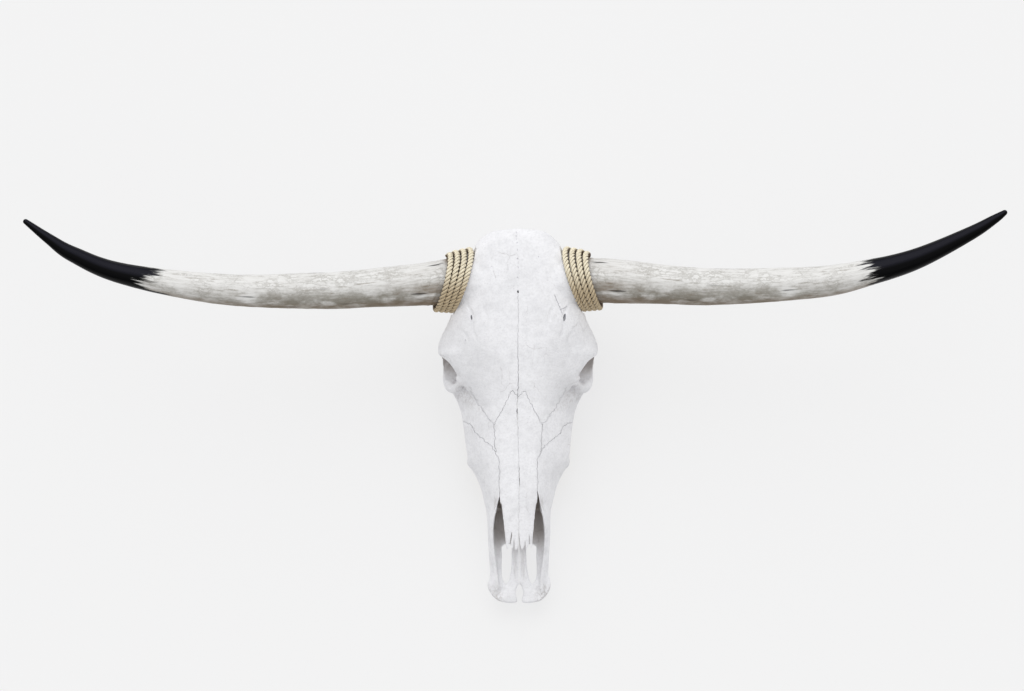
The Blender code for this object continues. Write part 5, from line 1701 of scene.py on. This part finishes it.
class SKULL_OT_stage(bpy.types.Operator):
    """Lay the floor, set the lights and aim the camera"""
    bl_idname = "skull.stage"
    bl_label = "Stage"

    def execute(self, context):
        sizes = context.scene.skull_stage
        bpy.ops.mesh.primitive_plane_add(size=FLOOR_SIZE, location=(0, 0, 0))
        floor = context.active_object
        floor.name = "floor"
        look, _, shader = new_material("pale_floor")
        shader.inputs["Base Color"].default_value = (*sizes.floor, 1)
        shader.inputs["Roughness"].default_value = 0.9
        shader.inputs["Specular IOR Level"].default_value = 0.0
        shader.inputs["Emission Color"].default_value = (1, 1, 1, 1)
        shader.inputs["Emission Strength"].default_value = sizes.glow
        floor.data.materials.append(look)

        context.scene.world = studio_world(sizes)

        key = bpy.data.lights.new("key", "SUN")
        key.energy = sizes.key
        key.angle = KEY_SPREAD
        lamp = bpy.data.objects.new("key", key)
        context.scene.collection.objects.link(lamp)
        lamp.rotation_euler = LIGHT_SIDE.to_track_quat("Z", "Y").to_euler()

        context.scene.view_settings.view_transform = "Standard"
        context.scene.camera = aimed_camera(sizes)
        return {"FINISHED"}


def studio_world(sizes):
    """Soft light all round, brighter from above and from the side of the poll. Beyond the floor the camera
    sees a plain backdrop."""
    world = bpy.data.worlds.new("studio")
    world.use_nodes = True
    g = Graph(world.node_tree)
    way = g.node("ShaderNodeTexCoord").outputs["Generated"]
    facing = g.node("ShaderNodeVectorMath", {"operation": "DOT_PRODUCT"}, i0=way,
                    i1=tuple(LIGHT_SIDE.normalized())).outputs["Value"]
    strength = g.product(g.ramp(facing, -0.75, 0.95, sizes.ambient_low, sizes.ambient_high),
                         g.ramp(g.parts(way)[2], -0.1, 0.95, sizes.horizon, 1.25))
    seen = g.node("ShaderNodeLightPath").outputs["Is Camera Ray"]
    shown = g.node("ShaderNodeMix", {"data_type": "FLOAT"}, i0=seen, i2=strength, i3=sizes.backdrop).outputs[0]
    background = world.node_tree.nodes["Background"]
    background.inputs["Color"].default_value = (1, 1, 1, 1)
    g.feed(background.inputs["Strength"], shown)
    return world


def aimed_camera(sizes):
    """The camera looks down on the skull from towards its nose."""
    back = Vector((0, -math.cos(sizes.elevation), math.sin(sizes.elevation)))
    aim = Vector((MIDLINE, STATION_ZERO - BROW_HEIGHT / math.tan(sizes.elevation), BROW_HEIGHT))
    camera = bpy.data.cameras.new("camera")
    made = bpy.data.objects.new("camera", camera)
    bpy.context.scene.collection.objects.link(made)
    made.location = aim + back * sizes.distance
    made.rotation_euler = back.to_track_quat("Z", "Y").to_euler()
    camera.lens = camera.sensor_width * sizes.distance / sizes.frame_width
    camera.shift_x = (PICTURE[0] / 2 - BROW_PIXEL[0]) / PICTURE[0]
    camera.shift_y = (BROW_PIXEL[1] - PICTURE[1] / 2) / PICTURE[0]
    return made


class SKULL_PT_sidebar(bpy.types.Panel):
    """Buttons and settings of the skull"""
    bl_idname = "SKULL_PT_sidebar"
    bl_label = "Longhorn skull"
    bl_space_type = "VIEW_3D"
    bl_region_type = "UI"
    bl_category = "Skull"

    def draw(self, context):
        for operator, settings in STEPS:
            box = self.layout.box()
            box.operator(operator.bl_idname)
            group = getattr(context.scene, settings)
            for name in group.bl_rna.properties.keys():
                if name not in ("rna_type", "name"):
                    box.prop(group, name)


SETTINGS = {"skull_bone": SkullBoneSettings, "skull_horn": SkullHornSettings, "skull_rope": SkullRopeSettings,
            "skull_stage": SkullStageSettings}
STEPS = ((SKULL_OT_bones, "skull_bone"), (SKULL_OT_teeth, "skull_bone"), (SKULL_OT_horns, "skull_horn"),
         (SKULL_OT_ropes, "skull_rope"), (SKULL_OT_stage, "skull_stage"))
CLASSES = (*SETTINGS.values(), *[operator for operator, _ in STEPS], SKULL_PT_sidebar)


def register():
    for kind in CLASSES:
        bpy.utils.register_class(kind)
    for name, kind in SETTINGS.items():
        setattr(bpy.types.Scene, name, PointerProperty(type=kind))


def unregister():
    for name in SETTINGS:
        delattr(bpy.types.Scene, name)
    for kind in reversed(CLASSES):
        bpy.utils.unregister_class(kind)


def main():
    register()
    bpy.ops.skull.bones()
    bpy.ops.skull.teeth()
    bpy.ops.skull.horns()
    bpy.ops.skull.ropes()
    bpy.ops.skull.stage()


if __name__ == "__main__":
    main()
